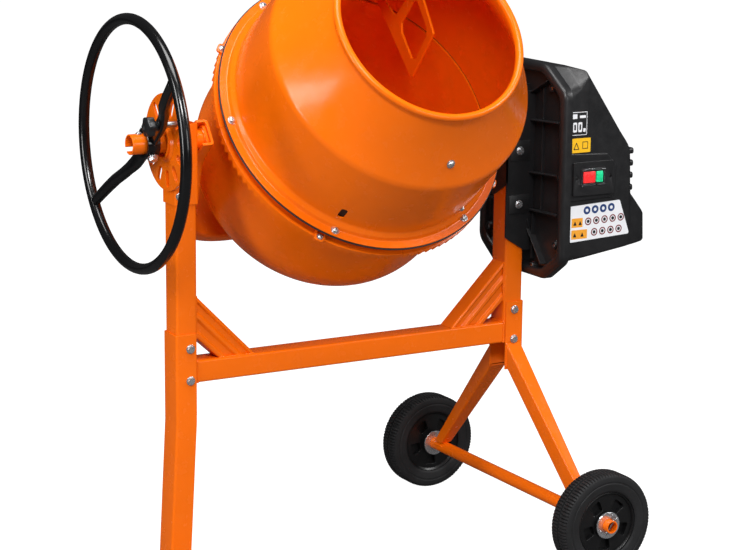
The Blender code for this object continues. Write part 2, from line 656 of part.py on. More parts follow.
# ---- yoke ---------------------------------------------------------------------------------
def yoke(tilting, spindle_bore):
    """The pressed cradle that runs from one trunnion round under the bowl to the other."""
    corner = BOWL_CORNER + YOKE_GAP
    centre = (BOWL_RADIUS - BOWL_CORNER, BOWL_CORNER_Z)
    head = 26 * MM
    wide = 84 * MM
    narrow = 58 * MM
    reach = centre[0] + corner
    path = [((reach, YOKE_HEAD), 0, head), ((reach, -22 * MM), 0, head + 5 * MM),
            ((reach, BOWL_CORNER_Z), 0, wide)]
    for i in range(1, 6):
        angle = -90 * i / 5
        x = centre[0] + corner * math.cos(math.radians(angle))
        z = centre[1] + corner * math.sin(math.radians(angle))
        path.append(((x, z), angle, wide + (narrow - wide) * i / 5))
    loops = []
    for (x, z), angle, half in path + [((-x, z), 180 - a, h) for (x, z), a, h in reversed(path)]:
        out = Vector((math.cos(math.radians(angle)), 0, math.sin(math.radians(angle))))
        at = Vector((x, 0, z))
        profile = ((0, -half), (YOKE_FLANGE + YOKE_SHEET, -half),
                   (YOKE_FLANGE + YOKE_SHEET, -half + YOKE_SHEET), (YOKE_SHEET, -half + YOKE_SHEET),
                   (YOKE_SHEET, half - YOKE_SHEET), (YOKE_FLANGE + YOKE_SHEET, half - YOKE_SHEET),
                   (YOKE_FLANGE + YOKE_SHEET, half), (0, half))
        loops.append([at + out * depth + Vector((0, v, 0)) for depth, v in profile])
    part = place("yoke", skin(loops), "orange_paint", tilting)
    left = rod(TRUNNION_RADIUS - 2.7 * MM, -reach - 9 * MM, -reach + 4 * MM, "x", segments=16)
    right = rod(RIGHT_TRUNNION[0], reach - 4 * MM, reach + 9 * MM, "x", segments=16)
    bottom = rod(spindle_bore, -330 * MM, -280 * MM, "z", segments=20)
    for name, tool in (("cut_yoke_left", left), ("cut_yoke_right", right),
                       ("cut_yoke_bottom", bottom)):
        boolean(part, cutter(name, tool, tilting))
    return reach


def trunnions(tilting, stand, reach, pivot_hole):
    """The flanged tubes that carry the yoke, and the bush in the right post."""
    face = reach + YOKE_SHEET + GAP
    flange = 22 * MM
    inner = TRUNNION_RADIUS - 2.7 * MM
    left = [(inner, -face), (flange, -face), (flange, -face - 5 * MM),
            (TRUNNION_RADIUS, -face - 5 * MM), (TRUNNION_RADIUS, TRUNNION_END),
            (inner, TRUNNION_END)]
    part = place("left_trunnion", turned(left, "x", segments=20), "orange_paint", tilting)
    boolean(part, pivot_hole)
    notch = box((TRUNNION_END - 5 * MM, -5 * MM, -30 * MM), (TRUNNION_END + 16 * MM, 5 * MM, 0))
    boolean(part, cutter("cut_trunnion_notch", notch, tilting))
    inner, outer = RIGHT_TRUNNION
    end = RIGHT_POST_X + TUBE_WIDTH / 2 + 1 * MM
    right = [(inner, face), (flange, face), (flange, face + 5 * MM), (outer, face + 5 * MM),
             (outer, end), (inner, end)]
    place("right_trunnion", turned(right, "x", segments=20), "steel", tilting)
    bush = sleeve(outer + GAP, outer + 4 * MM - GAP, RIGHT_POST_X - TUBE_WIDTH / 2,
                  RIGHT_POST_X + TUBE_WIDTH / 2, "x", (0, 0, TILT_HEIGHT), 20)
    place("right_bush", bush, "steel", stand)


# ---- handwheel ----------------------------------------------------------------------------
def handwheel(frame, pivot_hole, tilting):
    """The rim with its dished spokes and hub sleeve, made as one welded piece."""
    around = 36
    section = 8
    loops = []
    for i in range(around):
        a = 2 * math.pi * i / around
        loop = []
        for k in range(section):
            b = 2 * math.pi * k / section
            radius = RIM_CENTRE_RADIUS + RIM_TUBE * math.cos(b)
            loop.append((RIM_X + RIM_TUBE * math.sin(b), radius * math.sin(a),
                         radius * math.cos(a)))
        loops.append(loop)
    wheel_part = place("handwheel", skin(loops, ring=True), "black_paint", frame)
    hub_half = 12 * MM
    clear = TRUNNION_RADIUS + 1.8 * MM
    hub = sleeve(clear, clear + 6 * MM, PIVOT_X - hub_half, PIVOT_X + hub_half, "x", segments=16)
    hub_tool = cutter("join_hub", hub, tilting)
    for side in (1, -1):
        stations = ((RIM_X, RIM_CENTRE_RADIUS, 10, 10), (PIVOT_X - 16 * MM, 130 * MM, 11, 11),
                    (PIVOT_X - 6 * MM, 100 * MM, 11.5, 10), (PIVOT_X + 1 * MM, 70 * MM, 14, 7.5),
                    (PIVOT_X, 45 * MM, 16, 6.5), (PIVOT_X, clear + 2 * MM, 17, 6))
        loops = []
        for x, z, half_y, half_x in stations:
            loops.append([(x + half_x * MM * math.cos(a), half_y * MM * math.sin(a), side * z)
                          for a in (2 * math.pi * k / 8 for k in range(8))])
        tool = cutter("join_spoke_%s" % ("up" if side > 0 else "down"), skin(loops), tilting)
        boolean(wheel_part, tool, "UNION")
    boolean(wheel_part, hub_tool, "UNION")
    boolean(wheel_part, pivot_hole)


def handwheel_gear(frame, tilting):
    """The pivot bolt through the trunnion, and the lock tooth on the upper spoke with its knob."""
    length = TRUNNION_RADIUS + 9.8 * MM
    bolt = [(0, -length - 9 * MM), (9 * MM, -length - 9 * MM), (9 * MM, -length), (4 * MM, -length),
            (4 * MM, length), (9 * MM, length), (9 * MM, length + 7 * MM), (0, length + 7 * MM)]
    bm = turned(bolt, "y", (PIVOT_X, 0, 0), 12)
    place("pivot_bolt", bm, "zinc", tilting)
    back = PIVOT_X + 8.8 * MM
    tip = DISC_X[0] - 1 * MM
    tooth = box((back, -4.5 * MM, SLOT_RADIUS - LOCK_LENGTH / 2),
                (tip, 4.5 * MM, SLOT_RADIUS + LOCK_LENGTH / 2))
    place("lock_tooth", tooth, "steel", frame)

    def star(x, radius, lobe):
        loop = []
        for i in range(24):
            a = 2 * math.pi * i / 24
            r = (radius + lobe * math.cos(6 * a)) * MM
            loop.append((PIVOT_X + x * MM, r * math.sin(a), KNOB_RADIUS + r * math.cos(a)))
        return loop
    loops = [star(-7.6, 9, 0), star(-14, 9, 0), star(-14, 17.2, 1.8), star(-28, 17.2, 1.8),
             star(-30, 14.5, 1.0)]
    place("star_knob", skin(loops), "black_plastic", frame)


# ---- drive --------------------------------------------------------------------------------
def pinion_outline():
    """Twelve straight-sided teeth, one of them in the ring gear's gap over the tilt axis."""
    middle = (RING_INNER + RING_OUTER) / 2
    pitch_radius = middle * PINION_TEETH / RING_TEETH
    tip = pitch_radius + TOOTH_HEIGHT * 0.25
    root = pitch_radius - TOOTH_HEIGHT * 0.58
    pitch = 2 * math.pi / PINION_TEETH
    points = []
    for tooth in range(PINION_TEETH):
        centre = math.pi / 2 + tooth * pitch
        for radius, turn in ((root, -0.24), (tip, -0.08), (tip, 0.08), (root, 0.24)):
            a = centre + turn * pitch
            points.append((radius * math.cos(a), radius * math.sin(a)))
    return points


def drive_train(drive):
    """The shaft inside the right trunnion, the pinion on its inner end, the belt pulley."""
    end = BELT_X[1] + 14 * MM
    shaft = rod(SHAFT_RADIUS, RING_INNER - 1 * MM, end, "x", segments=16)
    place("drive_shaft", shaft, "steel", drive)
    bore = arc((0, 0), SHAFT_RADIUS + GAP, 0, 337.5, 15)
    gear = plate(pinion_outline(), [bore], RING_INNER - 0.5 * MM, RING_OUTER + 0.5 * MM, "x")
    place("drive_pinion", gear, "steel", drive)
    low, high = BELT_X
    seat = PULLEY_SEAT
    lip = seat + PULLEY_LIP
    hub = 22 * MM
    web = high - 2 * MM
    bore_r = SHAFT_RADIUS + GAP
    outline = [(bore_r, low - 6 * MM), (hub, low - 6 * MM), (hub, web), (seat - 8 * MM, web),
               (seat - 8 * MM, low - 2.5 * MM), (lip, low - 2.5 * MM), (seat, low - GAP),
               (seat, high + GAP), (lip, high + 2.5 * MM), (bore_r, high + 2.5 * MM)]
    place("large_pulley", turned(outline, "x", segments=28), "aluminium", drive)


def belt(stand):
    """A flat loop over the two pulleys, drawn as one closed band."""
    large = PULLEY_SEAT + BELT_CLEARANCE
    small = MOTOR_PULLEY_SEAT + BELT_CLEARANCE
    distance = TILT_HEIGHT - MOTOR_Z
    wrap = math.degrees(math.asin((large - small) / distance))
    path = []
    arcs = ((TILT_HEIGHT, large, -wrap, 180 + wrap, 24),
            (MOTOR_Z, small, 180 + wrap, 360 - wrap, 8))
    for centre, radius, start, stop, steps in arcs:
        for i in range(steps + 1):
            a = math.radians(start + (stop - start) * i / steps)
            path.append((centre, radius, a))
    low, high = BELT_X
    loops = []
    for centre, radius, a in path:
        loop = []
        for x, extra in ((low, 0), (high, 0), (high, BELT), (low, BELT)):
            r = radius + extra
            loop.append((x, r * math.cos(a), centre + r * math.sin(a)))
        loops.append(loop)
    place("drive_belt", skin(loops, ring=True), "seal_rubber", stand)


def motor(stand, rotor):
    """The motor's body behind the belt, and its shaft with the small pulley cut into it."""
    start = BELT_X[1] + 14 * MM
    end = 542 * MM
    centre = (0, 0, MOTOR_Z)
    shaft_r = 5 * MM
    body = [(shaft_r + GAP, start), (MOTOR_RADIUS + 8 * MM, start),
            (MOTOR_RADIUS + 8 * MM, start + 4 * MM), (MOTOR_RADIUS, start + 4 * MM),
            (MOTOR_RADIUS, end - 8 * MM), (MOTOR_RADIUS - 10 * MM, end),
            (shaft_r + GAP, end)]
    place("motor", turned(body, "x", centre, 20), "aluminium", stand)
    low, high = BELT_X
    seat = MOTOR_PULLEY_SEAT
    lip = seat + PULLEY_LIP
    outline = [(0, low - 2.5 * MM), (lip, low - 2.5 * MM), (seat, low - GAP),
               (seat, high + GAP), (lip, high + 2.5 * MM), (shaft_r, high + 2.5 * MM),
               (shaft_r, end + 6 * MM), (0, end + 6 * MM)]
    place("motor_shaft", turned(outline, "x", centre, 16), "steel", rotor)


# ---- housing ------------------------------------------------------------------------------
def rounded(low, high, half, top_half, radius, x, inset=0.0):
    """One housing outline in the YZ plane at x: a rounded box, narrower on top."""
    low += inset
    high -= inset
    half -= inset
    top_half -= inset
    radius = max(radius - inset, 4 * MM)
    points = []
    for centre, start in (((half - radius, low + radius), -90),
                          ((top_half - radius, high - radius), 0),
                          ((-top_half + radius, high - radius), 90),
                          ((-half + radius, low + radius), 180)):
        points += arc(centre, radius, start, start + 90, 3)
    return [(x, y, z) for y, z in points]


def housing_tray(stand):
    """The ribbed back half of the housing: a raised round lip about a sunken floor."""
    front, back = TRAY_X
    low, high = TRAY_Z

    def ring(inset, x):
        return rounded(low, high, 148 * MM, 142 * MM, 66 * MM, x, inset)
    loops = [ring(19 * MM, back - 6 * MM), ring(17 * MM, front + 6 * MM), ring(13 * MM, front),
             ring(5 * MM, front), ring(0, front + 6 * MM), ring(0, back), ring(3 * MM, back),
             ring(3 * MM, front + 7 * MM), ring(6 * MM, front + 3 * MM),
             ring(12 * MM, front + 3 * MM), ring(14 * MM, front + 7 * MM), ring(16 * MM, back - 3 * MM)]
    tray = place("housing_tray", skin(loops), "black_plastic", stand)
    bore = rod(24 * MM, front - 5 * MM, back + 5 * MM, "x", (0, 0, TILT_HEIGHT), 16)
    boolean(tray, cutter("cut_tray_bore", bore, stand))


def post_saddle(stand):
    """The black clamp on the right post that carries the tray: a front and a left plate."""
    wall = 3.4 * MM
    front = -TUBE_DEPTH / 2 - GAP
    left = RIGHT_POST_X - TUBE_WIDTH / 2 - GAP
    top = 892 * MM
    floor = TRAY_X[1] - 6 * MM - GAP
    face = [(left - wall, 604 * MM), (383 * MM, 576 * MM), (floor, 576 * MM), (floor, top),
            (left - wall, top)]
    part = place("post_saddle", extruded(face, front - wall, front, "y"), "black_plastic", stand)
    side = [(front - wall, 711 * MM), (TUBE_DEPTH / 2, 680 * MM), (TUBE_DEPTH / 2, top),
            (front - wall, top)]
    tool = cutter("join_saddle_side", extruded(side, left - wall, left, "x"), stand)
    boolean(part, tool, "UNION")
    bore = rod(RIGHT_TRUNNION[1] + 4 * MM, left - 3 * wall, left + wall, "x",
               (0, 0, TILT_HEIGHT), 24)
    boolean(part, cutter("cut_saddle_bore", bore, stand))
    return part


def housing_cover(stand):
    """The outer half: full height at the tray, sloping down to the motor's end."""
    wall = 3 * MM
    stations = (((TRAY_X[1] + GAP) / MM, 560, 947, 143, 142, 50), (428, 562, 946, 143, 142, 34),
                (447, 565, 939, 143, 142, 13), (531, 577, 818, 143, 142, 13),
                (545, 581, 799, 143, 142, 12), (551, 583, 789, 143, 142, 11),
                (554, 584, 698, 142.5, 142, 10), (571, 591, 690, 142, 141.5, 10),
                (587, 597, 657, 141, 140.5, 7), (COVER_END / MM, 599, 653, 139, 138.5, 6))

    def ring(station, inset):
        x, low, high, half, top_half, radius = station
        return rounded(low * MM, high * MM, half * MM, top_half * MM, radius * MM, x * MM, inset)
    outside = [ring(station, 0) for station in stations]
    inside = [ring(station, wall) for station in stations[:3]]
    for station in stations[3:-1]:
        inside.append([(x - wall, y, z) for x, y, z in ring(station, wall)])
    cover = place("housing_cover", skin(inside[::-1] + outside), "black_plastic", stand)
    window = box((430 * MM, PANEL_Y - 10 * MM, 721 * MM), (482 * MM, PANEL_Y + 10 * MM, 749 * MM))
    boolean(cover, cutter("cut_switch_window", window, stand))


def switch(stand, stop_frame, start_frame, flap_frame):
    """The switch plate with its contact block, the two buttons and the clear flap."""
    x0, x1 = SWITCH_X
    z0, z1 = SWITCH_Z
    back = PANEL_Y - GAP
    outline = [(x0, z0), (x1, z0), (x1, z1), (x0, z1)]
    window = [(431 * MM, 722 * MM), (481 * MM, 722 * MM), (481 * MM, 748 * MM),
              (431 * MM, 748 * MM)]
    place("switch_plate", plate(outline, [window], SWITCH_Y, back, "y"), "black_plastic", stand)
    block = box((431.5 * MM, PANEL_Y - 1.5 * MM, 722.5 * MM),
                (480.5 * MM, PANEL_Y + 36 * MM, 747.5 * MM))
    place("switch_block", block, "black_plastic", stand)
    keys = (("stop_button", stop_frame, "red_plastic", 433, 461),
            ("start_button", start_frame, "green_plastic", 463, 479))
    for name, frame, colour, low, high in keys:
        key = box((low * MM, SWITCH_Y - 1 * MM, 724 * MM), (high * MM, PANEL_Y - 5.3 * MM, 746 * MM))
        place(name, key, colour, frame)
    flap = box((428 * MM, SWITCH_Y - 3.8 * MM, 719 * MM), (484 * MM, SWITCH_Y - 1.8 * MM, 752 * MM))
    place("switch_flap", flap, "clear_plastic", flap_frame)


def power_inlet(stand):
    """The recessed mains inlet under the housing."""
    centre = (500 * MM, 60 * MM, 0)
    top = 569 * MM
    outline = [(0, top), (17 * MM, top), (17 * MM, top - 16 * MM), (13.5 * MM, top - 16 * MM),
               (13.5 * MM, top - 6 * MM), (0, top - 6 * MM)]
    place("power_inlet", turned(outline, "z", centre, 20), "black_plastic", stand)


# ---- assembly -----------------------------------------------------------------------------
def main():
    clear_scene()
    root = empty("mixer", None, SHIFT)
    stand = axis_frame("stand", root, (0, 0, 0))
    tilt = empty("tilt_axis", root, (0, 0, TILT_HEIGHT), DRUM_LEAN)
    tilting = {"frame": tilt, "offset": Vector()}
    drum = axis_frame("drum_axis", tilt, (0, 0, 0))
    drive = axis_frame("drive_axis", tilt, (0, 0, 0))
    wheel_pivot = axis_frame("handwheel_pivot", tilt, (PIVOT_X, 0, 0))
    rotor = axis_frame("motor_axis", root, (0, 0, MOTOR_Z))
    stop = axis_frame("stop_travel", root, (447 * MM, SWITCH_Y, 735 * MM))
    start = axis_frame("start_travel", root, (471 * MM, SWITCH_Y, 735 * MM))
    flap = axis_frame("flap_hinge", root, (456 * MM, SWITCH_Y - 2.8 * MM, 752 * MM))
    holes = bolt_hole_cutters(stand)
    pivot_hole = cutter("cut_pivot", rod(4.3 * MM, -60 * MM, 60 * MM, "y", (PIVOT_X, 0, 0), 12),
                        tilting)
    posts(stand, holes)
    crossbeam(stand)
    brace("left_brace", stand, LEFT_POST_X + TUBE_WIDTH / 2, 1)
    brace("right_brace", stand, RIGHT_POST_X - TUBE_WIDTH / 2, -1)
    left_leg(stand, holes)
    axle_frame(stand, holes)
    bolts(stand)
    tilt_bracket(stand)
    for prefix, side in (("front", -1), ("rear", 1)):
        y = side * sum(WHEEL_Y) / 2
        frame = axis_frame(prefix + "_wheel_axis", root, (AXLE_X, y, WHEEL_RADIUS))
        wheel(prefix, side, frame, stand)
    ring_top, bottom = drum_shells(drum)
    ring_gear(drum, ring_top)
    paddles(drum)
    drum_bearing(drum, tilting, bottom)
    reach = yoke(tilting, 27 * MM + GAP)
    trunnions(tilting, stand, reach, pivot_hole)
    handwheel(wheel_pivot, pivot_hole, tilting)
    handwheel_gear(wheel_pivot, tilting)
    drive_train(drive)
    belt(stand)
    motor(stand, rotor)
    housing_tray(stand)
    saddle = post_saddle(stand)
    boolean(saddle, holes["housing"])
    housing_cover(stand)
    switch(stand, stop, start, flap)
    power_inlet(stand)


main()
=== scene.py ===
"""Looks of the electric concrete mixer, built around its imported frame.

Shapes are written in millimetres, in one of two spaces:
  STAND   X along the tilt axis from the middle of the posts, Y to the back, Z up from the floor
  TILTED  x along the tilt axis, z along the drum's axis to its mouth, y across both
"""

import json
from math import acos, atan2, copysign, cos, pi, radians, sin, sqrt, tan

import bmesh
import bpy
from mathutils import Matrix, Vector


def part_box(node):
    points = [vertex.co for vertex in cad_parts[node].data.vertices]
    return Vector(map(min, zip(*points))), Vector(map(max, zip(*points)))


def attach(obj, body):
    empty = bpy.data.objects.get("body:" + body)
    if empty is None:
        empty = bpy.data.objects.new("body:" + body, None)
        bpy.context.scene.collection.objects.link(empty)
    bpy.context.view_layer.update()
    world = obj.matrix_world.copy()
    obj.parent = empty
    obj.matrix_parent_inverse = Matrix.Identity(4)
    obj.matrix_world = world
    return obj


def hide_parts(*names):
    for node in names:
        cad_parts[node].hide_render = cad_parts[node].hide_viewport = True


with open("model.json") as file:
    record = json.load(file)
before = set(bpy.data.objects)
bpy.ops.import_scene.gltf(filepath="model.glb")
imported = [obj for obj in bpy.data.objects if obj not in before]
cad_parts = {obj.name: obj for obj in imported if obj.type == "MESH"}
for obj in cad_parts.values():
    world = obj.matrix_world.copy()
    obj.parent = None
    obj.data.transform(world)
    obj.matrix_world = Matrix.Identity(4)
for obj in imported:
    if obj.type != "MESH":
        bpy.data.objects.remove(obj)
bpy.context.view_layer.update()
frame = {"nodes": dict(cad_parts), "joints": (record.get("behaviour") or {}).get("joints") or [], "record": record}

MM = 0.001
RIGHT, BACK, UP = (1, 0, 0), (0, 1, 0), (0, 0, 1)
LEFT, FRONT, DOWN = (-1, 0, 0), (0, -1, 0), (0, 0, -1)
JOINTS = {joint["name"]: joint for joint in frame["joints"]}
HUB = Vector(JOINTS["tilt"]["pos_m"])
DRUM_AXIS = Vector(JOINTS["drum_spin"]["axis"])
ACROSS = Vector(JOINTS["wheel_release"]["axis"])
STAND = Matrix.Translation((HUB.x, HUB.y, 0)) @ Matrix.Scale(MM, 4)
TILTED = (Matrix.Translation(HUB) @ Matrix((Vector(RIGHT), ACROSS, DRUM_AXIS)).transposed().to_4x4()
          @ Matrix.Scale(MM, 4))
TILTED_BODIES = ("cradle", "tilt_wheel", "drum")
HUB_Z = HUB.z / MM
HUB_POINT = (0, 0, HUB_Z)


# ---- materials ----
def node(tree, kind, **values):
    """Adds a shader node; values are its settings, or the numbers or outputs for its sockets."""
    made = tree.nodes.new("ShaderNode" + kind)
    for key, value in values.items():
        if key not in made.inputs:
            setattr(made, key, value)
        elif isinstance(value, bpy.types.NodeSocket):
            tree.links.new(value, made.inputs[key])
        else:
            made.inputs[key].default_value = value
    return made


def noise(tree, place, scale, detail=3):
    return node(tree, "TexNoise", Vector=place, Scale=scale, Detail=detail, Roughness=0.55).outputs["Fac"]


def ranged(tree, value, low, high, start=0.3, stop=0.7):
    limits = {"From Min": start, "From Max": stop, "To Min": low, "To Max": high}
    return node(tree, "MapRange", Value=value, **limits).outputs["Result"]


def mixed(tree, factor, a, b):
    return node(tree, "Mix", data_type="RGBA", Factor=factor, A=a, B=b).outputs["Result"]


def material(name, colour, roughness, metallic=0, coat=0, mottle=0.06, mottle_scale=7,
             rough_spread=0.06, grain=0.02, grain_scale=600, specks=None, transmission=0, gloss=0.5):
    """A finish with drifting colour and roughness, a fine surface grain, and maybe specks of dust."""
    made = bpy.data.materials.new(name)
    made.use_nodes = True
    tree = made.node_tree
    shader = tree.nodes["Principled BSDF"]
    place = node(tree, "TexCoord").outputs["Object"]
    result = mixed(tree, ranged(tree, noise(tree, place, mottle_scale), 0, 1),
                   (*(c * (1 - mottle) for c in colour), 1),
                   (*(min(c * (1 + mottle), 1) for c in colour), 1))
    if specks:
        speck_colour, amount, size = specks
        dots = ranged(tree, noise(tree, place, size, 2), 0, amount, 0.6, 0.72)
        result = mixed(tree, dots, result, (*speck_colour, 1))
    tree.links.new(result, shader.inputs["Base Color"])
    spread = noise(tree, place, mottle_scale * 5)
    tree.links.new(ranged(tree, spread, max(roughness - rough_spread, 0.03), roughness + rough_spread),
                   shader.inputs["Roughness"])
    bump = node(tree, "Bump", Strength=1, Distance=grain * MM, Height=noise(tree, place, grain_scale, 2))
    tree.links.new(bump.outputs["Normal"], shader.inputs["Normal"])
    for key, value in (("Metallic", metallic), ("Specular IOR Level", gloss), ("Coat Weight", coat),
                       ("Coat Roughness", 0.08), ("Transmission Weight", transmission)):
        shader.inputs[key].default_value = value
    return made


LOOKS = {  # a finish, and the record's slot that it stands for
    "orange": (material("gloss_orange_paint", (0.9, 0.152, 0.002), 0.24, coat=0.06, gloss=0.26,
                        mottle=0.035, grain=0.05, grain_scale=230,
                        specks=((0.86, 0.24, 0.04), 0.08, 60)), "orange_paint"),
    "black_gloss": (material("gloss_black_paint", (0.004, 0.004, 0.0045), 0.2, coat=0.3, gloss=0.4,
                             mottle=0.2, grain=0.03, grain_scale=260), "black_paint"),
    "plastic": (material("moulded_black_plastic", (0.011, 0.011, 0.012), 0.38, mottle=0.12,
                         mottle_scale=12, grain=0.05, grain_scale=900,
                         specks=((0.035, 0.035, 0.035), 0.12, 180)), "black_plastic"),
    "rim": (material("wheel_rim_plastic", (0.006, 0.006, 0.0065), 0.36, gloss=0.4, mottle=0.15,
                     grain=0.04, grain_scale=500, specks=((0.04, 0.037, 0.034), 0.12, 120)),
            "black_plastic"),
    "tyre": (material("tyre_tread_rubber", (0.018, 0.018, 0.019), 0.6, gloss=0.25, mottle=0.18,
                      mottle_scale=20, grain=0.12, grain_scale=420,
                      specks=((0.03, 0.028, 0.027), 0.2, 90)), "tyre_rubber"),
    "seal": (material("rubber_seal", (0.014, 0.013, 0.013), 0.55, grain=0.05), "seal_rubber"),
    "zinc": (material("zinc_plate", (0.68, 0.69, 0.71), 0.27, metallic=0.88, mottle=0.1,
                      mottle_scale=90, grain_scale=1500, specks=((0.3, 0.29, 0.27), 0.35, 320)),
             "zinc"),
    "steel": (material("turned_steel", (0.42, 0.42, 0.43), 0.34, metallic=1, mottle=0.12,
                       mottle_scale=60, grain=0.03, grain_scale=900), "steel"),
    "aluminium": (material("cast_aluminium", (0.68, 0.69, 0.7), 0.42, metallic=1, grain=0.1,
                           grain_scale=800), "aluminium"),
    "red": (material("red_key_plastic", (0.85, 0.02, 0.02), 0.3, coat=0.2), "red_plastic"),
    "green": (material("green_key_plastic", (0.006, 0.48, 0.2), 0.3, coat=0.2), "green_plastic"),
    "clear": (material("clear_flap_plastic", (0.95, 0.96, 0.97), 0.05, transmission=1, mottle=0.01,
                       rough_spread=0.02, grain=0.005), "clear_plastic"),
}
INKS = {name.split("_")[0]: material(name, colour, rough, mottle=mottle, grain=0.01)
        for name, colour, rough, mottle in (
            ("white_label_film", (0.82, 0.83, 0.86), 0.38, 0.02),
            ("black_label_ink", (0.012, 0.012, 0.013), 0.42, 0.1),
            ("yellow_label_film", (0.9, 0.5, 0.012), 0.38, 0.03),
            ("amber_label_film", (0.86, 0.36, 0.03), 0.38, 0.03),
            ("blue_label_ink", (0.012, 0.045, 0.17), 0.4, 0.05),
            ("red_label_ink", (0.19, 0.015, 0.015), 0.4, 0.05))}


# ---- outlines and paths ----
def turns(count):
    """The angles of even steps round a circle."""
    return [2 * pi * i / count for i in range(count)]


def arc(centre, radius, start, stop, steps):
    """Points on a circle, from one angle in degrees to another."""
    angles = [radians(start + (stop - start) * i / steps) for i in range(steps + 1)]
    return [(centre[0] + radius * cos(a), centre[1] + radius * sin(a)) for a in angles]


def bent(before, corner, after, steps):
    """A curve from the point before a corner to the point after it."""
    return [tuple(before * (1 - t) ** 2 + corner * 2 * t * (1 - t) + after * t * t)
            for t in (k / steps for k in range(steps + 1))]


def filleted(corners, radii, steps=5):
    """An outline whose corners are rounded, each by its own radius; radius 0 keeps a corner."""
    if not isinstance(radii, (list, tuple)):
        radii = [radii] * len(corners)
    points = []
    for i, (corner, radius) in enumerate(zip(corners, radii)):
        here = Vector(corner)
        before = Vector(corners[i - 1]) - here
        after = Vector(corners[(i + 1) % len(corners)]) - here
        half = before.angle(after) / 2
        reach = min(radius / tan(half), before.length * 0.49, after.length * 0.49)
        if reach < 0.05:
            points.append(tuple(here))
        else:
            points += bent(here + before.normalized() * reach, here, here + after.normalized() * reach,
                           steps)
    return points


def box(x0, x1, y0, y1, radius=2, steps=4):
    return filleted([(x0, y0), (x1, y0), (x1, y1), (x0, y1)], radius, steps)


def folded(line, sheet=2.6, radius=5):
    """A folded sheet's outline, from the line of its outer face, with rounded bends."""
    line = [Vector(point) for point in line]
    ways = [(b - a).normalized() for a, b in zip(line, line[1:])]
    depths = [Vector((-way.y, way.x)) * sheet for way in ways]
    outer, inner = [tuple(line[0])], [tuple(line[0] + depths[0])]
    for here, way_in, way_out, d0, d1 in zip(line[1:], ways, ways[1:], depths, depths[1:]):
        start, stop = here - way_in * radius, here + way_out * radius
        outer += bent(start, here, stop, 5)
        inner += bent(start + d0, here + d0 + d1, stop + d1, 5)
    outer.append(tuple(line[-1]))
    inner.append(tuple(line[-1] + depths[-1]))
    return outer + inner[::-1]


def ripple(radius, depth):
    """A weld's radius along its steps."""
    return lambda step: radius + depth * sin(step * 1.9)


# ---- solids ----
AXES = {"x": lambda a, b, h: (h, a, b), "y": lambda a, b, h: (a, h, b), "z": lambda a, b, h: (a, b, h)}


def skin(loops, ring=False):
    """A surface through loops of equal length, capped at its ends or closed in a ring."""
    bm = bmesh.new()
    rows = [[bm.verts.new(point) for point in loop] for loop in loops]
    count = len(rows[0])
    for low, high in list(zip(rows, rows[1:])) + ([(rows[-1], rows[0])] if ring else []):
        for i in range(count):
            j = (i + 1) % count
            bm.faces.new((low[i], low[j], high[j], high[i]))
    if not ring:
        bm.faces.new(list(reversed(rows[0])))
        bm.faces.new(rows[-1])
    return bm


def lathe(outline, segments=96, reach=None):
    """Turns an outline of (radius, height) about Z; reach(angle, radius, height) may change a radius.

    An outline that starts and ends at radius 0 makes a solid, and any other is closed into a ring.
    """
    solid = outline[0][0] == 0 and outline[-1][0] == 0
    loops = []
    for radius, height in outline[1:-1] if solid else outline:
        radii = [(reach(a, radius, height) if reach else radius, a) for a in turns(segments)]
        loops.append([(r * cos(a), r * sin(a), height) for r, a in radii])
    return skin(loops, ring=not solid)


def rod(radius, low, high, segments):
    return lathe([(0, low), (radius, low), (radius, high), (0, high)], segments)


def prism(outline, low, high, axis="z", edge=0):
    """An outline drawn out along an axis; edge rounds both ends' rims by that much."""
    at = AXES[axis]
    if not edge:
        return skin([[at(a, b, h) for a, b in outline] for h in (low, high)])
    middle = Vector((sum(p[0] for p in outline), sum(p[1] for p in outline))) / len(outline)
    size = max((Vector(p) - middle).length for p in outline)
    loops = []
    for inset, height in ((edge, low), (edge * 0.3, low + edge * 0.3), (0, low + edge),
                          (0, high - edge), (edge * 0.3, high - edge * 0.3), (edge, high)):
        shrink = 1 - inset / size
        loops.append([at(*(middle + (Vector(p) - middle) * shrink), height) for p in outline])
    return skin(loops)


def tube(outer, inner, low, high, axis="z"):
    """A hollow prism between two outlines of the same count."""
    return skin([[AXES[axis](a, b, h) for a, b in outline] for outline, h in
                 ((outer, low), (outer, high), (inner, high), (inner, low))], ring=True)


def square_tube(low, high, radius=5, axis="z", wall=2):
    """A rectangular tube that fills a box, with rounded long edges."""
    index = "xyz".index(axis)
    a, b = [k for k in range(3) if k != index]
    outer = box(low[a], high[a], low[b], high[b], radius, 5)
    inner = box(low[a] + wall, high[a] - wall, low[b] + wall, high[b] - wall, radius - wall, 5)
    return tube(outer, inner, low[index], high[index], axis)


def perforated(outline, holes, low, high, axis="z"):
    """A flat plate with holes through it."""
    at = AXES[axis]
    bm = bmesh.new()
    edges = []
    for loop in [outline] + holes:
        verts = [bm.verts.new(at(a, b, low)) for a, b in loop]
        edges += [bm.edges.new((verts[i - 1], verts[i])) for i in range(len(verts))]
    bmesh.ops.triangle_fill(bm, use_beauty=True, edges=edges)
    grown = bmesh.ops.extrude_face_region(bm, geom=list(bm.faces))
    lifted = [item for item in grown["geom"] if isinstance(item, bmesh.types.BMVert)]
    bmesh.ops.translate(bm, verts=lifted, vec=Vector(at(0, 0, high)) - Vector(at(0, 0, low)))
    return bm


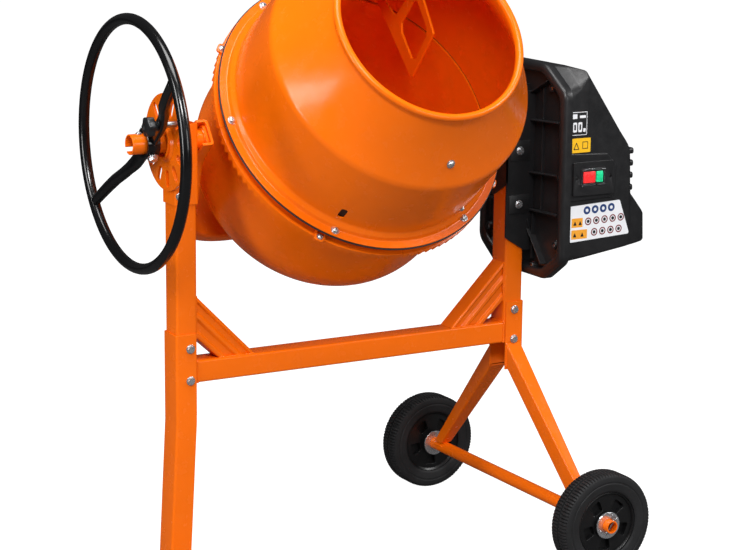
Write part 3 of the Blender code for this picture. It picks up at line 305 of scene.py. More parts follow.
def swept(path, radius, sides=16, closed=False):
    """A round bar along a path, whose radius may be a number or a function of the step."""
    points = [Vector(p) for p in path]
    count = len(points)
    loops = []
    side = None
    for i, point in enumerate(points):
        ahead = points[(i + 1) % count] if closed or i < count - 1 else point
        behind = points[i - 1] if closed or i else point
        along = (ahead - behind).normalized()
        if side is None:
            side = along.orthogonal().normalized()
        side = (side - along * side.dot(along)).normalized()
        up = along.cross(side)
        r = radius(i) if callable(radius) else radius
        loops.append([point + (side * cos(a) + up * sin(a)) * r for a in turns(sides)])
    return skin(loops, ring=closed)


def weld_bead(radius, *points):
    """A rippled bead of weld along a path."""
    path = [Vector(p) for p in points]
    steps = []
    for a, b in zip(path, path[1:]):
        count = max(2, int((b - a).length / 1.6))
        steps += [a.lerp(b, i / count) for i in range(count)]
    return swept(steps + [path[-1]], ripple(radius * 0.82, radius * 0.18), 8)


def aimed(point, direction, roll=0):
    """A matrix whose Z runs along the direction from the point."""
    turn = Vector(direction).to_track_quat("Z", "Y").to_matrix().to_4x4()
    return Matrix.Translation(Vector(point)) @ turn @ Matrix.Rotation(roll, 4, "Z")


def moved(bm, matrix):
    bm.transform(matrix)
    return bm


def placed(bm, point, direction, roll=0):
    return moved(bm, aimed(point, direction, roll))


def linked(name, data):
    made = bpy.data.objects.new(name, data)
    bpy.context.scene.collection.objects.link(made)
    return made


# ---- pieces ----
def joined(parts):
    """One bmesh out of several."""
    whole = bmesh.new()
    for bm in parts:
        bmesh.ops.recalc_face_normals(bm, faces=bm.faces)
        mesh = bpy.data.meshes.new("part")
        bm.to_mesh(mesh)
        bm.free()
        whole.from_mesh(mesh)
        bpy.data.meshes.remove(mesh)
    return whole


def shown(name, bm):
    """A new object in the scene, made from a bmesh."""
    mesh = bpy.data.meshes.new(name)
    bm.to_mesh(mesh)
    bm.free()
    return linked(name, mesh)


def shade(made, angle):
    """Smooth shading, with a sharp edge wherever faces meet at more than the angle."""
    made.data.shade_smooth()
    made.data.set_sharp_from_angle(angle=radians(angle))


def piece(name, parts, look="orange", body="stand", stands_for=None, bevel=0, smooth=38):
    """Makes a finished piece that rides a body, and may stand for one of the CAD's nodes."""
    bm = joined(parts if isinstance(parts, list) else [parts])
    made = shown(name, moved(bm, TILTED if body in TILTED_BODIES else STAND))
    shade(made, smooth)
    finish, slot = LOOKS[look]
    made.data.materials.append(finish)
    if bevel:
        step = made.modifiers.new("rounded_edges", "BEVEL")
        step.width = bevel * MM
        step.segments = 2
        step.limit_method = "ANGLE"
        step.angle_limit = radians(35)
        step.harden_normals = True
    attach(made, body)
    if stands_for:
        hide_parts(stands_for)
    return made


def cut(target, bm, space=STAND, smooth=None):
    """Takes a shape out of a piece."""
    bmesh.ops.recalc_face_normals(bm, faces=bm.faces)
    tool = shown("cutter", moved(bm, space))
    step = target.modifiers.new("opening", "BOOLEAN")
    step.operation, step.solver, step.object = "DIFFERENCE", "EXACT", tool
    bpy.context.view_layer.update()
    graph = bpy.context.evaluated_depsgraph_get()
    result = bpy.data.meshes.new_from_object(target.evaluated_get(graph))
    target.modifiers.remove(step)
    target.data = result
    bpy.data.objects.remove(tool)
    if smooth:
        shade(target, smooth)


def bore(target, radius, reach, segments, point, direction, space=STAND):
    """Drills a round hole that reaches so far to both sides of the point."""
    cut(target, placed(rod(radius, -reach, reach, segments), point, direction), space)


def span(name):
    """A CAD node's box in the stand's millimetres."""
    back = STAND.inverted()
    return [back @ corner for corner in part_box(name)]


# ---- fasteners ----
def hexagon(angle, radius):
    """Distance to a hexagon's edge, whose corners lie at the radius."""
    inner = radius * cos(pi / 6)
    return inner / cos((angle + pi / 6) % (pi / 3) - pi / 6)


def hex_head(size, height, washer):
    """A hexagon head with a chamfered crown on a washer, seen along +Z from its seat."""
    rows = [(0, 0), (washer, 0), (washer, 1.4), (washer - 0.6, 1.8), (size * 0.9, 1.8),
            (size + 0.001, 1.9), (size + 0.001, height - 1.2), (size * 0.86, height),
            (size * 0.5, height + 0.15), (0, height)]
    return lathe(rows, 48, lambda a, r, z: min(hexagon(a, size), r) if abs(r - size) < 0.01 else r)


def hex_nut(size, height, thread, stand_out):
    """A nut on its washer with the bolt's end standing out of it."""
    rows = [(0, 0), (size * 1.25, 0), (size * 1.25, 1.6), (size + 0.001, 1.7),
            (size + 0.001, height - 1), (size * 0.86, height), (thread, height),
            (thread, height + stand_out - 0.8), (thread - 0.8, height + stand_out),
            (0, height + stand_out)]
    return lathe(rows, 48, lambda a, r, z: hexagon(a, size) if abs(r - size) < 0.01 else r)


def pan_head(radius, height, washer=0):
    """A domed screw head with a cross recess."""
    base = 1.2 if washer else 0
    rows = [(0, 0)] + ([(washer, 0), (washer, base)] if washer else [])
    rows += [(radius * part, base + height * share) for part, share in
             ((1, 0), (1, 0.25), (0.93, 0.55), (0.75, 0.82), (0.5, 0.97), (0.46, 1), (0.4, 0.35), (0, 0.3))]
    return lathe(rows, 40, lambda a, r, z: r * (0.35 + 0.65 * abs(cos(2 * a)) ** 1.6)
                 if r < radius * 0.48 else r)


# ---- stand ----
def build_posts():
    for name in ("left_post", "right_post"):
        piece(name + "_tube", square_tube(*span(name)), stands_for=name)
    low, high = span("crossbeam")
    piece("cross_tube", square_tube(low, high, 4.5, "x"), stands_for="crossbeam")
    gap = 0.3
    beads = []
    for x in (low.x, high.x):
        for (y0, z0), (y1, z1) in (((low.y - gap, low.z), (low.y - gap, high.z)),
                                   ((low.y, high.z + gap), (high.y, high.z + gap)),
                                   ((high.y + gap, low.z), (high.y + gap, high.z))):
            beads.append(weld_bead(2.2, (x, y0, z0), (x, y1, z1)))
    piece("beam_welds", beads, smooth=80)


def build_left_leg():
    low, high = span("left_leg")
    web = span("left_post")[0].x - 2.9
    bend = 318
    lean = tan(radians(3))
    outline = folded([(high.x, high.y), (web, high.y), (web, low.y), (high.x, low.y)])
    loops = [[(x + lean * min(z - bend, 0), y, z) for x, y in outline]
             for z in (low.z, bend - 6, bend, bend + 4, high.z)]
    piece("folded_leg", skin(loops), stands_for="left_leg", bevel=0.5)
    half = (high.y - low.y) / 2
    start = low.x + 1
    low, high = span("left_foot")
    piece("foot_bar", square_tube(low, high, 4, "y"), stands_for="left_foot")
    top = high.z + 0.4
    bead = weld_bead(2.4, (start + 40, -half, top), (start, -half, top), (start, half, top),
                     (start + 40, half, top))
    piece("foot_weld", bead, smooth=80)
    outline = box(low.x + 0.4, high.x - 0.4, low.z + 0.4, high.z - 0.4, 3.6)
    caps = [prism(outline, y, y + 4, "y", 1) for y in (low.y, high.y - 4)]
    piece("foot_end_caps", caps, "plastic")


LEG_TOP, LEG_FOOT = Vector((364, 0, 372)), Vector((379, 0, 120))
AXLE_LEGS = {  # |y| of the centre line, width and depth, at LEG_TOP and at LEG_FOOT
    "front_axle_leg": ((20.4, 34, 35.6), (255.6, 18, 41)),
    "rear_axle_leg": ((12.5, 40, 34), (248, 28, 21)),
}
LEG_REACH = 284  # the furthest |y| of a leg
AXLE_RADIUS = 12.5


def build_axle_frame():
    low, high = span("axle_bracket")
    outline = folded([(low.x, low.y), (high.x, low.y), (high.x, high.y), (low.x, high.y)])
    piece("wrap_bracket", prism(outline, low.z, high.z), stands_for="axle_bracket", bevel=0.5)
    axle_low, axle_high = span("axle_tube")
    axle_x = (axle_low.x + axle_high.x) / 2
    axle_z = (axle_low.z + axle_high.z) / 2
    beads = []
    bracket_face = high.y + 0.3
    for (name, (top_size, foot_size)), side in zip(AXLE_LEGS.items(), (-1, 1)):
        run = Vector((0, foot_size[0] - top_size[0], LEG_FOOT.z - LEG_TOP.z)).normalized()
        across = Vector((0, -run.z, run.y))

        def ring(inset, at_top):
            sections = [box(inset - w / 2, w / 2 - inset, inset - d / 2, d / 2 - inset, 4.5 - inset, 5)
                        for _, w, d in (top_size, foot_size)]
            loop = []
            for (u0, v0), (u1, v1) in zip(*sections):
                start = LEG_TOP + Vector((u0, top_size[0], 0)) + across * v0
                way = LEG_FOOT + Vector((u1, foot_size[0], 0)) + across * v1 - start
                if at_top:
                    reach = (bracket_face - start.y) / way.y
                else:
                    reach = min((axle_z + AXLE_RADIUS + 0.3 - start.z) / way.z,
                                (LEG_REACH - start.y) / way.y)
                point = start + way * reach
                loop.append((point.x, side * point.y, point.z))
            return loop
        top, foot = ring(0, True), ring(0, False)
        piece(name + "_tube", skin([top, foot, ring(2, False), ring(2, True)], ring=True), stands_for=name)
        foot_ends = (min(p[1] for p in foot), max(p[1] for p in foot))
        heights = (min(p[2] for p in top), max(p[2] for p in top))
        for way in (-1, 1):
            off = min(foot_size[1] / 2 - 1, 11.5)
            z = axle_z + sqrt(AXLE_RADIUS ** 2 - off ** 2)
            beads.append(weld_bead(2.6, *((axle_x + way * off, y, z) for y in foot_ends)))
            x = LEG_TOP.x + way * (top_size[1] / 2 - 1)
            beads.append(weld_bead(2.2, *((x, side * bracket_face, z) for z in heights)))
    piece("axle_frame_welds", beads, smooth=80)
    half = axle_high.y
    outline = [(10, -half), (12, -half), (12.5, -half + 0.6), (12.5, half - 0.6), (12, half), (10, half)]
    axle = piece("axle_pipe", placed(lathe(outline, 40), (axle_x, 0, axle_z), BACK), stands_for="axle_tube")
    pins = []
    direction = Vector((0.6, 0, 0.8))
    for side in (-1, 1):
        centre = Vector((axle_x, side * (half - 6), axle_z))
        bore(axle, 2.6, 20, 16, centre, direction)
        head = [centre + direction * (18 + 4 * cos(a)) + Vector((0, 4 * sin(a), 0)) for a in turns(14)]
        pins.append(swept(head, 1.1, 8, closed=True))
        pins.append(swept([centre + direction * 15, centre - direction * 16,
                           centre - direction * 19 + Vector((3, 0, 1))], 2, 10))
    piece("cotter_pins", pins, "steel")


def build_bolts():
    for name in ["%s_bolt_%s" % (part, end) for part in ("leg", "axle", "housing")
                 for end in ("upper", "lower")]:
        low, high = span(name)
        x, z = (low.x + high.x) / 2, (low.z + high.z) / 2
        parts = [placed(hex_head(6.8, 5.6, 8.4), (x, low.y + 6.5, z), FRONT, 0.4),
                 placed(hex_nut(7, 6, 4.6, 0.8), (x, high.y - 7, z), BACK, 0.9)]
        piece(name + "_zinc", parts, "zinc", "stand", name, bevel=0.25)


BRACE_RIDGES = (  # share of the channel's width from its lower edge, and depth behind its front
    (0, 3), (0.035, 0.7), (0.09, 0), (0.16, 0), (0.22, 4.5), (0.42, 4.5), (0.5, 0), (0.6, 0),
    (0.68, 4.5), (0.84, 4.5), (0.9, 0), (0.965, 0.7), (1, 3))


def build_braces():
    """Pressed channels, with two raised ridges along the web."""
    wall = 2.4
    for name, side in (("left_brace", 1), ("right_brace", -1)):
        low, high = span(name)
        post = low.x if side > 0 else high.x
        front, back = low.y, high.y
        upper = Vector((post, high.z)), Vector((post + side * 119.7, low.z))
        lower = Vector((post, high.z - 79)), Vector((post + side * 45.7, low.z))
        relief = [(0, back)] + [(t, front + depth) for t, depth in BRACE_RIDGES] + [(1, back)]
        inner = [(min(max(t, 0.045), 0.955), y + (wall if y < back else 0)) for t, y in relief]
        loops = []
        for start, stop in zip(lower, upper):
            spots = [(start.lerp(stop, t), y) for t, y in relief + inner[::-1]]
            loops.append([(spot.x, y, spot.y) for spot, y in spots])
        piece(name + "_pressing", skin(loops), stands_for=name, bevel=0.8, smooth=30)
        beads = [weld_bead(2, (a.x, front - 0.2, a.y), (b.x, front - 0.2, b.y))
                 for a, b in zip(upper, lower)]
        piece(name + "_welds", beads, smooth=80)


LOCK_SLOTS = 12
SLOT_RADIUS = 66


def build_tilt_bracket():
    low, high = span("tilt_bracket")
    outline = folded([(low.x, high.y), (low.x, low.y), (high.x, low.y), (high.x, high.y)])
    bracket = piece("trunnion_bracket", prism(outline, low.z, high.z), stands_for="tilt_bracket", bevel=0.5)
    cut(bracket, placed(rod(18.8, low.x - 20, high.x + 20, 64), HUB_POINT, RIGHT))
    screw = placed(hex_head(6, 4.5, 7.5), (span("left_post")[0].x + 6, low.y, low.z + 17), FRONT)
    low, high = span("locking_disc")
    rim = arc((0, HUB_Z), (high.z - low.z) / 2, 0, 357.5, 143)
    holes = []
    for i in range(LOCK_SLOTS):
        turn = acos(DRUM_AXIS.z) + pi / 2 + 2 * pi * i / LOCK_SLOTS
        slot = arc((9, 0), 6.5, -90, 90, 9) + arc((-9, 0), 6.5, 90, 270, 9)
        holes.append([((SLOT_RADIUS + a) * cos(turn) - b * sin(turn),
                       HUB_Z + (SLOT_RADIUS + a) * sin(turn) + b * cos(turn)) for a, b in slot])
    holes.append(arc((0, HUB_Z), 19.4, 0, 354, 59))
    piece("lock_disc_plate", perforated(rim, holes, low.x, high.x, "x"), stands_for="locking_disc", bevel=0.8)
    collar = [(27, -386), (30.5, -386), (31, -385.5), (31, -382), (36, -378), (27, -378)]
    piece("disc_collar", placed(lathe(collar, 64), HUB_POINT, RIGHT))
    piece("bracket_screw", screw, "zinc", bevel=0.2)


# ---- wheels ----
TREAD_BLOCKS = 96


def build_wheels():
    for prefix, side in (("front", -1), ("rear", 1)):
        body = prefix + "_wheel"
        centre = STAND.inverted() @ Vector(JOINTS[prefix + "_wheel_spin"]["pos_m"])
        outward = aimed(centre, (0, side, 0))
        low, high = span(prefix + "_tyre")
        half = (high.y - low.y) / 2
        radius = (high.z - low.z) / 2

        def reach(angle, r, h):
            phase = (angle / (2 * pi) * TREAD_BLOCKS + (0.5 if h > 0 else 0)) % 1
            return r - 3 if r > radius - 3.9 and abs(h) > 2.4 and phase > 0.55 else r
        flank = [(64.6, half - 3), (67, half - 1), (70, half - 0.2), (78, half - 0.2),
                 (79, half), (81, half), (82, half - 0.9), (84.5, half - 0.9), (85.5, half - 0.2),
                 (93, half - 0.4), (95.5, half - 1.4), (radius - 2, half - 3.6),
                 (radius - 0.5, half - 7), (radius, half - 9.5), (radius, 3.4), (radius - 0.8, 2.4),
                 (radius - 3.6, 2)]
        outline = [(r, -h) for r, h in flank] + flank[::-1]
        piece(prefix + "_tread_tyre", moved(lathe(outline, TREAD_BLOCKS * 4, reach), outward), "tyre",
              body, prefix + "_tyre", smooth=32)
        # rim: barrel and hub, and a disc whose faces have five pockets
        barrel = [(59, -half + 8), (63.8, -half + 5), (63.8, half - 4), (62, half - 3.2),
                  (60.2, half - 5), (59, half - 9)]
        hub = [(12.9, -half - 4.6), (19, -half - 4.6), (20, -half - 3.8), (20.5, 10), (24.5, 17),
               (24.5, half - 6.5), (23, half - 4), (12.9, half - 4)]
        floor = [(20, -7.6), (59.6, -7.6), (59.6, 8), (20, 8)]
        parts = [moved(lathe(rows), outward) for rows in (barrel, hub, floor)]

        def upright(points):
            return [(centre.x + x, centre.z + z) for x, z in points]
        holes = []
        for i in range(5):
            corners = [(r, radians(52 + 72 * i + turn))
                       for r, turn in ((30, -17), (52, -15), (52, 15), (30, 17))]
            holes.append(upright(filleted([(r * cos(a), r * sin(a)) for r, a in corners], 4, 4)))
        holes.append(upright(arc((0, 0), 20, 0, 354, 59)))
        face = upright(arc((0, 0), 60, 0, 356.25, 95))
        for way in (side, -side):
            parts.append(perforated(face, holes, centre.y + way * 7.4, centre.y + way * 17, "y"))
        piece(prefix + "_pocketed_rim", parts, "rim", body, prefix + "_rim", bevel=0.8)
        washer_low, washer_high = span(prefix + "_washer")
        seat = abs(washer_low.y if side > 0 else washer_high.y) - abs(centre.y)
        top = seat + 3
        ring = [(12.9, seat), (25.6, seat), (26, seat + 0.5), (26, top - 0.6), (25.4, top),
                (13.6, top), (12.9, top - 0.5)]
        piece(prefix + "_zinc_washer", moved(lathe(ring, 72), outward), "zinc", "stand", prefix + "_washer")
        inner_ring = [(12.9, -half - 7.2), (25.4, -half - 7.2), (26, -half - 6.6), (26, -half - 5.6),
                      (25.4, -half - 5), (12.9, -half - 5)]
        piece(prefix + "_inner_washer", moved(lathe(inner_ring, 72), outward), "zinc")


# ---- drum ----
DRUM_TURNS = 192
FLANGE = 65.3       # height of the upper shell's flange
SHELL_RADIUS = 256
CORNER = 140      # the bowl's outer corner: its radius and its centre
CORNER_X, CORNER_Z = 116, -116


def round_drum(degrees, radius, height):
    """A point on the drum and the direction straight out from there."""
    out = Vector((cos(radians(degrees)), sin(radians(degrees)), 0))
    return out * radius + Vector((0, 0, height)), out


def build_drum():
    outer = filleted(
        [(281, 62.9), (282, 63.4), (282, 64.8), (281.2, FLANGE), (268, FLANGE), (265.5, 72.5),
         (258, 80), (254, 238), (176, 347.5)],
        [0, 0.5, 0.7, 0.5, 3, 5, 9, 30, 0], 9)
    lip = arc((176.5, 355), 6.5, -95, 190, 18)
    inner = filleted([(169.8, 350), (247.5, 239.5), (255, 80), (SHELL_RADIUS, 62.9)], [0, 8, 5, 0], 5)
    upper = piece("upper_shell", lathe(outer + lip + inner, DRUM_TURNS), "orange", "drum", "drum_top",
                  smooth=50)
    hole = filleted([(-14, -6.5), (14, -6.5), (14, 6.5), (-14, 6.5)], 6.2, 6)
    seat = aimed(*round_drum(239, 257, 103), 1.6)
    cut(upper, moved(prism(hole, -8, 8), seat), TILTED, 50)
    # The black sheet behind the slot is painted shade. It stands in for the dark drum interior seen through the
    # hole.
    cover = [(x * 1.35, y * 1.6) for x, y in hole]
    piece("slot_painted_shade", moved(prism(cover, -5.4, -4), seat), "seal", "drum")
    centre = (CORNER_X, CORNER_Z)
    outside = [(282, 60.2), (282, 58.7), (281.5, 58.2), (259, 58.2), (SHELL_RADIUS, 55),
               (SHELL_RADIUS, 20), (SHELL_RADIUS, -60)]
    outside += arc(centre, CORNER, 0, -90, 26) + [(60, CORNER_Z - CORNER)]
    inside = [(60, CORNER_Z - 137.5)] + arc(centre, 137.5, -90, 0, 22) + [(253.5, 60.2)]
    bowl = [(0, CORNER_Z - CORNER)] + outside[::-1] + inside[::-1] + [(0, CORNER_Z - 137.5)]
    piece("lower_bowl", lathe(bowl, DRUM_TURNS), "orange", "drum", "drum_bowl", smooth=45)
    seal = [(257, 60.4), (283.6, 60.4), (284.2, 60.9), (284.2, 62.1), (283.6, 62.6), (257, 62.6)]
    piece("seal_band", lathe(seal, DRUM_TURNS), "seal", "drum", "drum_seal")

    screws = []
    for i in range(6):
        a = pi * i / 3
        screws.append(placed(pan_head(6.2, 4.4, 8.2), (270.5 * cos(a), 270.5 * sin(a), FLANGE), UP, a))
        screws.append(placed(hex_nut(6.4, 5.5, 3, 5), (272.5 * cos(a), 272.5 * sin(a), 58), DOWN, a))
    slope = atan2(78, 109)
    for degrees in (270.5, 90.5):
        point, out = round_drum(degrees, 254 - 40 * 78 / 109.5 + 0.3, 278)
        screws.append(placed(pan_head(6, 4.2, 8), point, out * cos(slope) + Vector((0, 0, sin(slope)))))
    for degrees, height in ((297, 96), (117, 96), (59, 103)):
        screws.append(placed(pan_head(5.2, 3.6, 7), *round_drum(degrees, 257.3, height)))
    piece("drum_screws", screws, "zinc", "drum")


def build_ring_gear():
    """Four toothed segments under the flange, each with its lugs and bolts."""
    segments, teeth = 4, 27
    pitch = 2 * pi / (segments * teeth)
    low, high, back = 26.9, 34.6, 57.6
    lugs = []
    bolts = []
    for segment in range(segments):
        start = segment * teeth * pitch
        stop = start + teeth * pitch
        angles = [(start + 0.0012, high)]
        for tooth in range(teeth):
            middle = start + (tooth + 0.5) * pitch
            for turn, height in ((-0.43, high), (-0.36, high - 0.6), (-0.09, low + 0.5), (-0.05, low),
                                 (0.05, low), (0.09, low + 0.5), (0.36, high - 0.6), (0.43, high)):
                angles.append((middle + turn * pitch, height))
        angles.append((stop - 0.0012, high))
        loops = []
        for angle, height in angles:
            section = ((262.3, back), (265, back), (266, 45), (284.4, 43), (285, 42.4),
                       (285, height + 0.5), (284.4, height), (262.8, height), (262.3, height + 0.5))
            loops.append([(r * cos(angle), r * sin(angle), h) for r, h in section])
        number = segment + 1
        piece("gear_segment_%d" % number, skin(loops), "orange", "drum", "ring_gear_%d" % number, smooth=30)
        turned = Matrix.Rotation(radians(56 + 90 * segment), 4, "Z")
        outline = filleted([(264, -12), (293, -9), (293, 9), (264, 12)], 6, 4)
        lugs.append(moved(prism(outline, 42.5, 47.5, "z", 0.8), turned))
        gusset = [(262.5, 47), (284, 47), (264.5, 57.4), (262.5, 57.4)]
        for side in (-9, 7):
            lugs.append(moved(prism(gusset, side, side + 2, "y"), turned))
        bolts.append(moved(pan_head(4.6, 3, 6.2), turned @ aimed((284.5, 0, 47.5), UP)))
    piece("gear_lugs", lugs, "orange", "drum", bevel=0.4)
    piece("gear_lug_bolts", bolts, "zinc", "drum")


def build_blades():
    for number in (1, 2):
        name = "paddle_%d" % number
        bm = bmesh.new()
        bm.from_mesh(frame["nodes"][name].data)
        bmesh.ops.remove_doubles(bm, verts=bm.verts, dist=1e-5)
        bmesh.ops.dissolve_limit(bm, angle_limit=radians(1), verts=bm.verts, edges=bm.edges)
        piece("mixing_blade_%d" % number, moved(bm, TILTED.inverted()), "orange", "drum", name, bevel=1.2)


def build_spindle():
    """The flange under the bowl, the bearing and the nut, with heights from the bowl's bottom down."""
    end = -256.3
    boss = [(0, 1), (71, 1), (72, -0.2), (72, -5), (70.5, -6.3), (40, -6.8), (27, -8.6),
            (24, -10), (15, -14), (15, -73), (14, -74), (0, -74)]
    race = [(15.2, -15.2), (26.2, -15.2), (27, -16), (27, -57), (26.2, -57.8), (15.2, -57.8)]
    nut = [(15.4, -59.2), (22, -59.2), (24, -60.4), (24, -68.8), (22, -70), (15.4, -70)]
    boss, race, nut = ([(r, end + h) for r, h in rows] for rows in (boss, race, nut))
    parts = [lathe(boss)]
    for a in turns(6):
        parts.append(placed(hex_head(6, 5, 7.4), (57 * cos(a), 57 * sin(a), end - 6.2), DOWN, a))
    piece("spindle_flange", parts, "steel", "drum", "drum_spindle")
    piece("bearing_sleeve", lathe(race, 72), "steel", "cradle", "spindle_bearing")
    piece("spindle_end_nut", lathe(nut, 72, lambda a, r, z: hexagon(a, 24) if r > 23 else r), "zinc",
          "drum", "spindle_nut")


# ---- cradle and tilting gear ----
def build_yoke():
    """The pressed cradle: a web that follows the bowl, with a flange along each side."""
    low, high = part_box("yoke")
    depth = 23
    reach = (high.x - low.x) / 2 / MM - depth
    corner = reach - CORNER_X
    arm = [((reach, 27), 0, 26), ((reach, 8), 0, 27.8), ((reach, -22), 0, 31)]
    for t in (i / 8 for i in range(1, 9)):
        arm.append(((reach, -22 - t * 94), 0, 31 + 53 * (t * t * (3 - 2 * t))))
    bend = arc((CORNER_X, CORNER_Z), corner, 0, -90, 18)[1:]
    arm += [(point, -90 * i / 18, 84 - 26 * i / 18) for i, point in enumerate(bend, 1)]
    loops = []
    for (x, z), angle, half in arm + [((-x, z), 180 - a, h) for (x, z), a, h in reversed(arm)]:
        out = Vector((cos(radians(angle)), 0, sin(radians(angle))))
        profile = filleted([(0, -half), (depth, -half), (depth, -half + 5), (5, -half + 5), (5, half - 5),
                            (depth, half - 5), (depth, half), (0, half)], [7, 1, 1, 3, 3, 1, 1, 7], 3)
        loops.append([Vector((x, 0, z)) + out * u + Vector((0, v, 0)) for u, v in profile])
    yoke = piece("pressed_yoke", skin(loops), "orange", "cradle", "yoke", smooth=34)
    bottom = Matrix.Translation((0, 0, CORNER_Z - corner))
    cut(yoke, moved(rod(27.3, -40, 40, 48), bottom), TILTED)
    bore(yoke, 15.8, 14, 40, (-reach, 0, 0), RIGHT, TILTED)
    bore(yoke, 11.2, 14, 40, (reach, 0, 0), RIGHT, TILTED)
    shade(yoke, 34)
    return reach


def build_trunnions(reach):
    face = reach + 5.3
    back = face + 5
    outline = filleted([(-21, -21.5), (21, -21.5), (20, 21.5), (-20, 21.5)], 9, 5)
    for name, side, inner, outer, end, look in (
            ("left_trunnion", -1, 15.8, 18.5, 448, "orange"),
            ("right_trunnion", 1, 11.2, 15.6, 383.9, "steel")):
        rows = [(inner, face), (outer, face), (outer, end - 0.6), (outer - 0.5, end), (inner + 0.4, end),
                (inner, end - 0.5)]
        bead = [(side * back, (outer + 0.6) * cos(a), (outer + 0.6) * sin(a)) for a in turns(60)]
        parts = [placed(lathe(rows, 64), (0, 0, 0), (side, 0, 0)),
                 perforated(outline, [arc((0, 0), inner, 0, 350, 35)],
                            *sorted((side * face, side * back)), "x"),
                 swept(bead, ripple(2.2, 0.3), 8, closed=True)]
        made = piece(name + "_tube", parts, look, "cradle", name)
        if side < 0:
            cut(made, prism([(-456, -5), (-432, -5), (-432, 5), (-456, 5)], -26, -6), TILTED, 38)


PIVOT_X = -410
PIVOT = (PIVOT_X, 0, 0)
RIM_RADIUS, RIM_TUBE = 222.5, 10.2


def build_handwheel():
    ring_x = (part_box("handwheel")[0].x - HUB.x) / MM + RIM_TUBE
    ring = [(ring_x, RIM_RADIUS * sin(a), RIM_RADIUS * cos(a)) for a in turns(144)]
    parts = [swept(ring, RIM_TUBE, 24, closed=True)]
    stations = (  # a spoke's place from the rim to the hub, and its half sizes along y and x
        (ring_x, 215, 9.6, 9.6), (ring_x + 2.6, 195, 10, 10), (ring_x + 7.5, 162, 10.6, 10.6),
        (PIVOT_X - 17.2, 132, 11, 11), (PIVOT_X - 9.5, 111, 11.3, 10.6),
        (PIVOT_X - 4.8, 93, 12, 9.4), (PIVOT_X - 1, 76, 13.3, 8.1),
        (PIVOT_X + 0.6, 62, 14.5, 7.3), (PIVOT_X, 45, 16, 6.5), (PIVOT_X, 22.6, 17, 6))
    boss = [(0, 21), (11, 21), (11, 27.3), (10.3, 28), (0, 28)]
    for side in (1, -1):
        loops = []
        for x, z, half_y, half_x in stations:
            power = 0.75 if z < 90 else 1  # squarer near the hub
            loops.append([(x + half_x * copysign(abs(cos(a)) ** power, cos(a)),
                           half_y * copysign(abs(sin(a)) ** power, sin(a)), side * z)
                          for a in turns(28)])
        parts.append(skin(loops))
        seam = [(ring_x + 8.9 * cos(a), 8.9 * sin(a), side * (212 + 1.6 * cos(2 * a))) for a in turns(40)]
        parts.append(swept(seam, ripple(1.1, 0.2), 8, closed=True))
        parts.append(placed(lathe(boss, 40), PIVOT, (0, side, 0)))
    hub = [(20.5, -11.4), (25.7, -12), (26.3, -11.4), (26.3, 11.4), (25.7, 12), (20.5, 11.4)]
    parts.append(placed(lathe(hub, 72), PIVOT, RIGHT))
    piece("tilt_handwheel", parts, "black_gloss", "tilt_wheel", "handwheel", smooth=42)
    bolt = [placed(hex_head(8.2, 7.2, 10.2), (PIVOT_X, -28.6, 0), FRONT, 0.35),
            placed(hex_nut(7.2, 6, 4, 1), (PIVOT_X, 28.6, 0), BACK, 0.8),
            placed(rod(4, -29, 29, 24), PIVOT, BACK)]
    piece("pivot_bolt_zinc", bolt, "zinc", "cradle", "pivot_bolt", bevel=0.3)
    upward = Vector((0, ACROSS.z, DRUM_AXIS.z))
    screw = placed(pan_head(4.4, 2.8, 6), Vector((-429, 0, 0)) + upward * 18.2, upward)
    piece("trunnion_screw", screw, "zinc", "cradle")
    tooth = prism(box(-4.4, 4.4, 60.2, 71.8, 3.6), PIVOT_X + 7.2, -378.7, "x", 1.2)
    piece("lock_pin", tooth, "steel", "tilt_wheel", "lock_tooth")

    def lobes(angle, r, z):
        return r * (1 - 0.19 * (0.5 - 0.5 * cos(6 * angle)) ** 0.8) if r > 11 else r
    knob = [(0, -1.6), (9, -1.6), (9, 5.4), (16.6, 6.8), (19, 8.8), (19, 18.4), (17.6, 20.6),
            (13.6, 21.8), (7, 22.2), (6, 20.8), (0, 20.6)]
    piece("wheel_star_knob", placed(lathe(knob, 96, lobes), (PIVOT_X - 7.6, 0, 63), LEFT), "plastic",
          "tilt_wheel", "star_knob")


# ---- housing ----
def housing_outline(low, high, half, cut_y, cut_z, base_y, base_z, soft):
    """An outline in (y, z): a box whose upper and lower corners are cut off and rounded."""
    right = [(half - base_y, low), (half, low + base_z), (half - 3, high - cut_z), (half - cut_y, high)]
    radii = [soft * 1.2, soft, soft, soft * 1.4]
    return filleted(right + [(-y, z) for y, z in reversed(right)], radii + radii[::-1], 7)


def lifted(x, outline):
    return [(x, y, z) for y, z in outline]


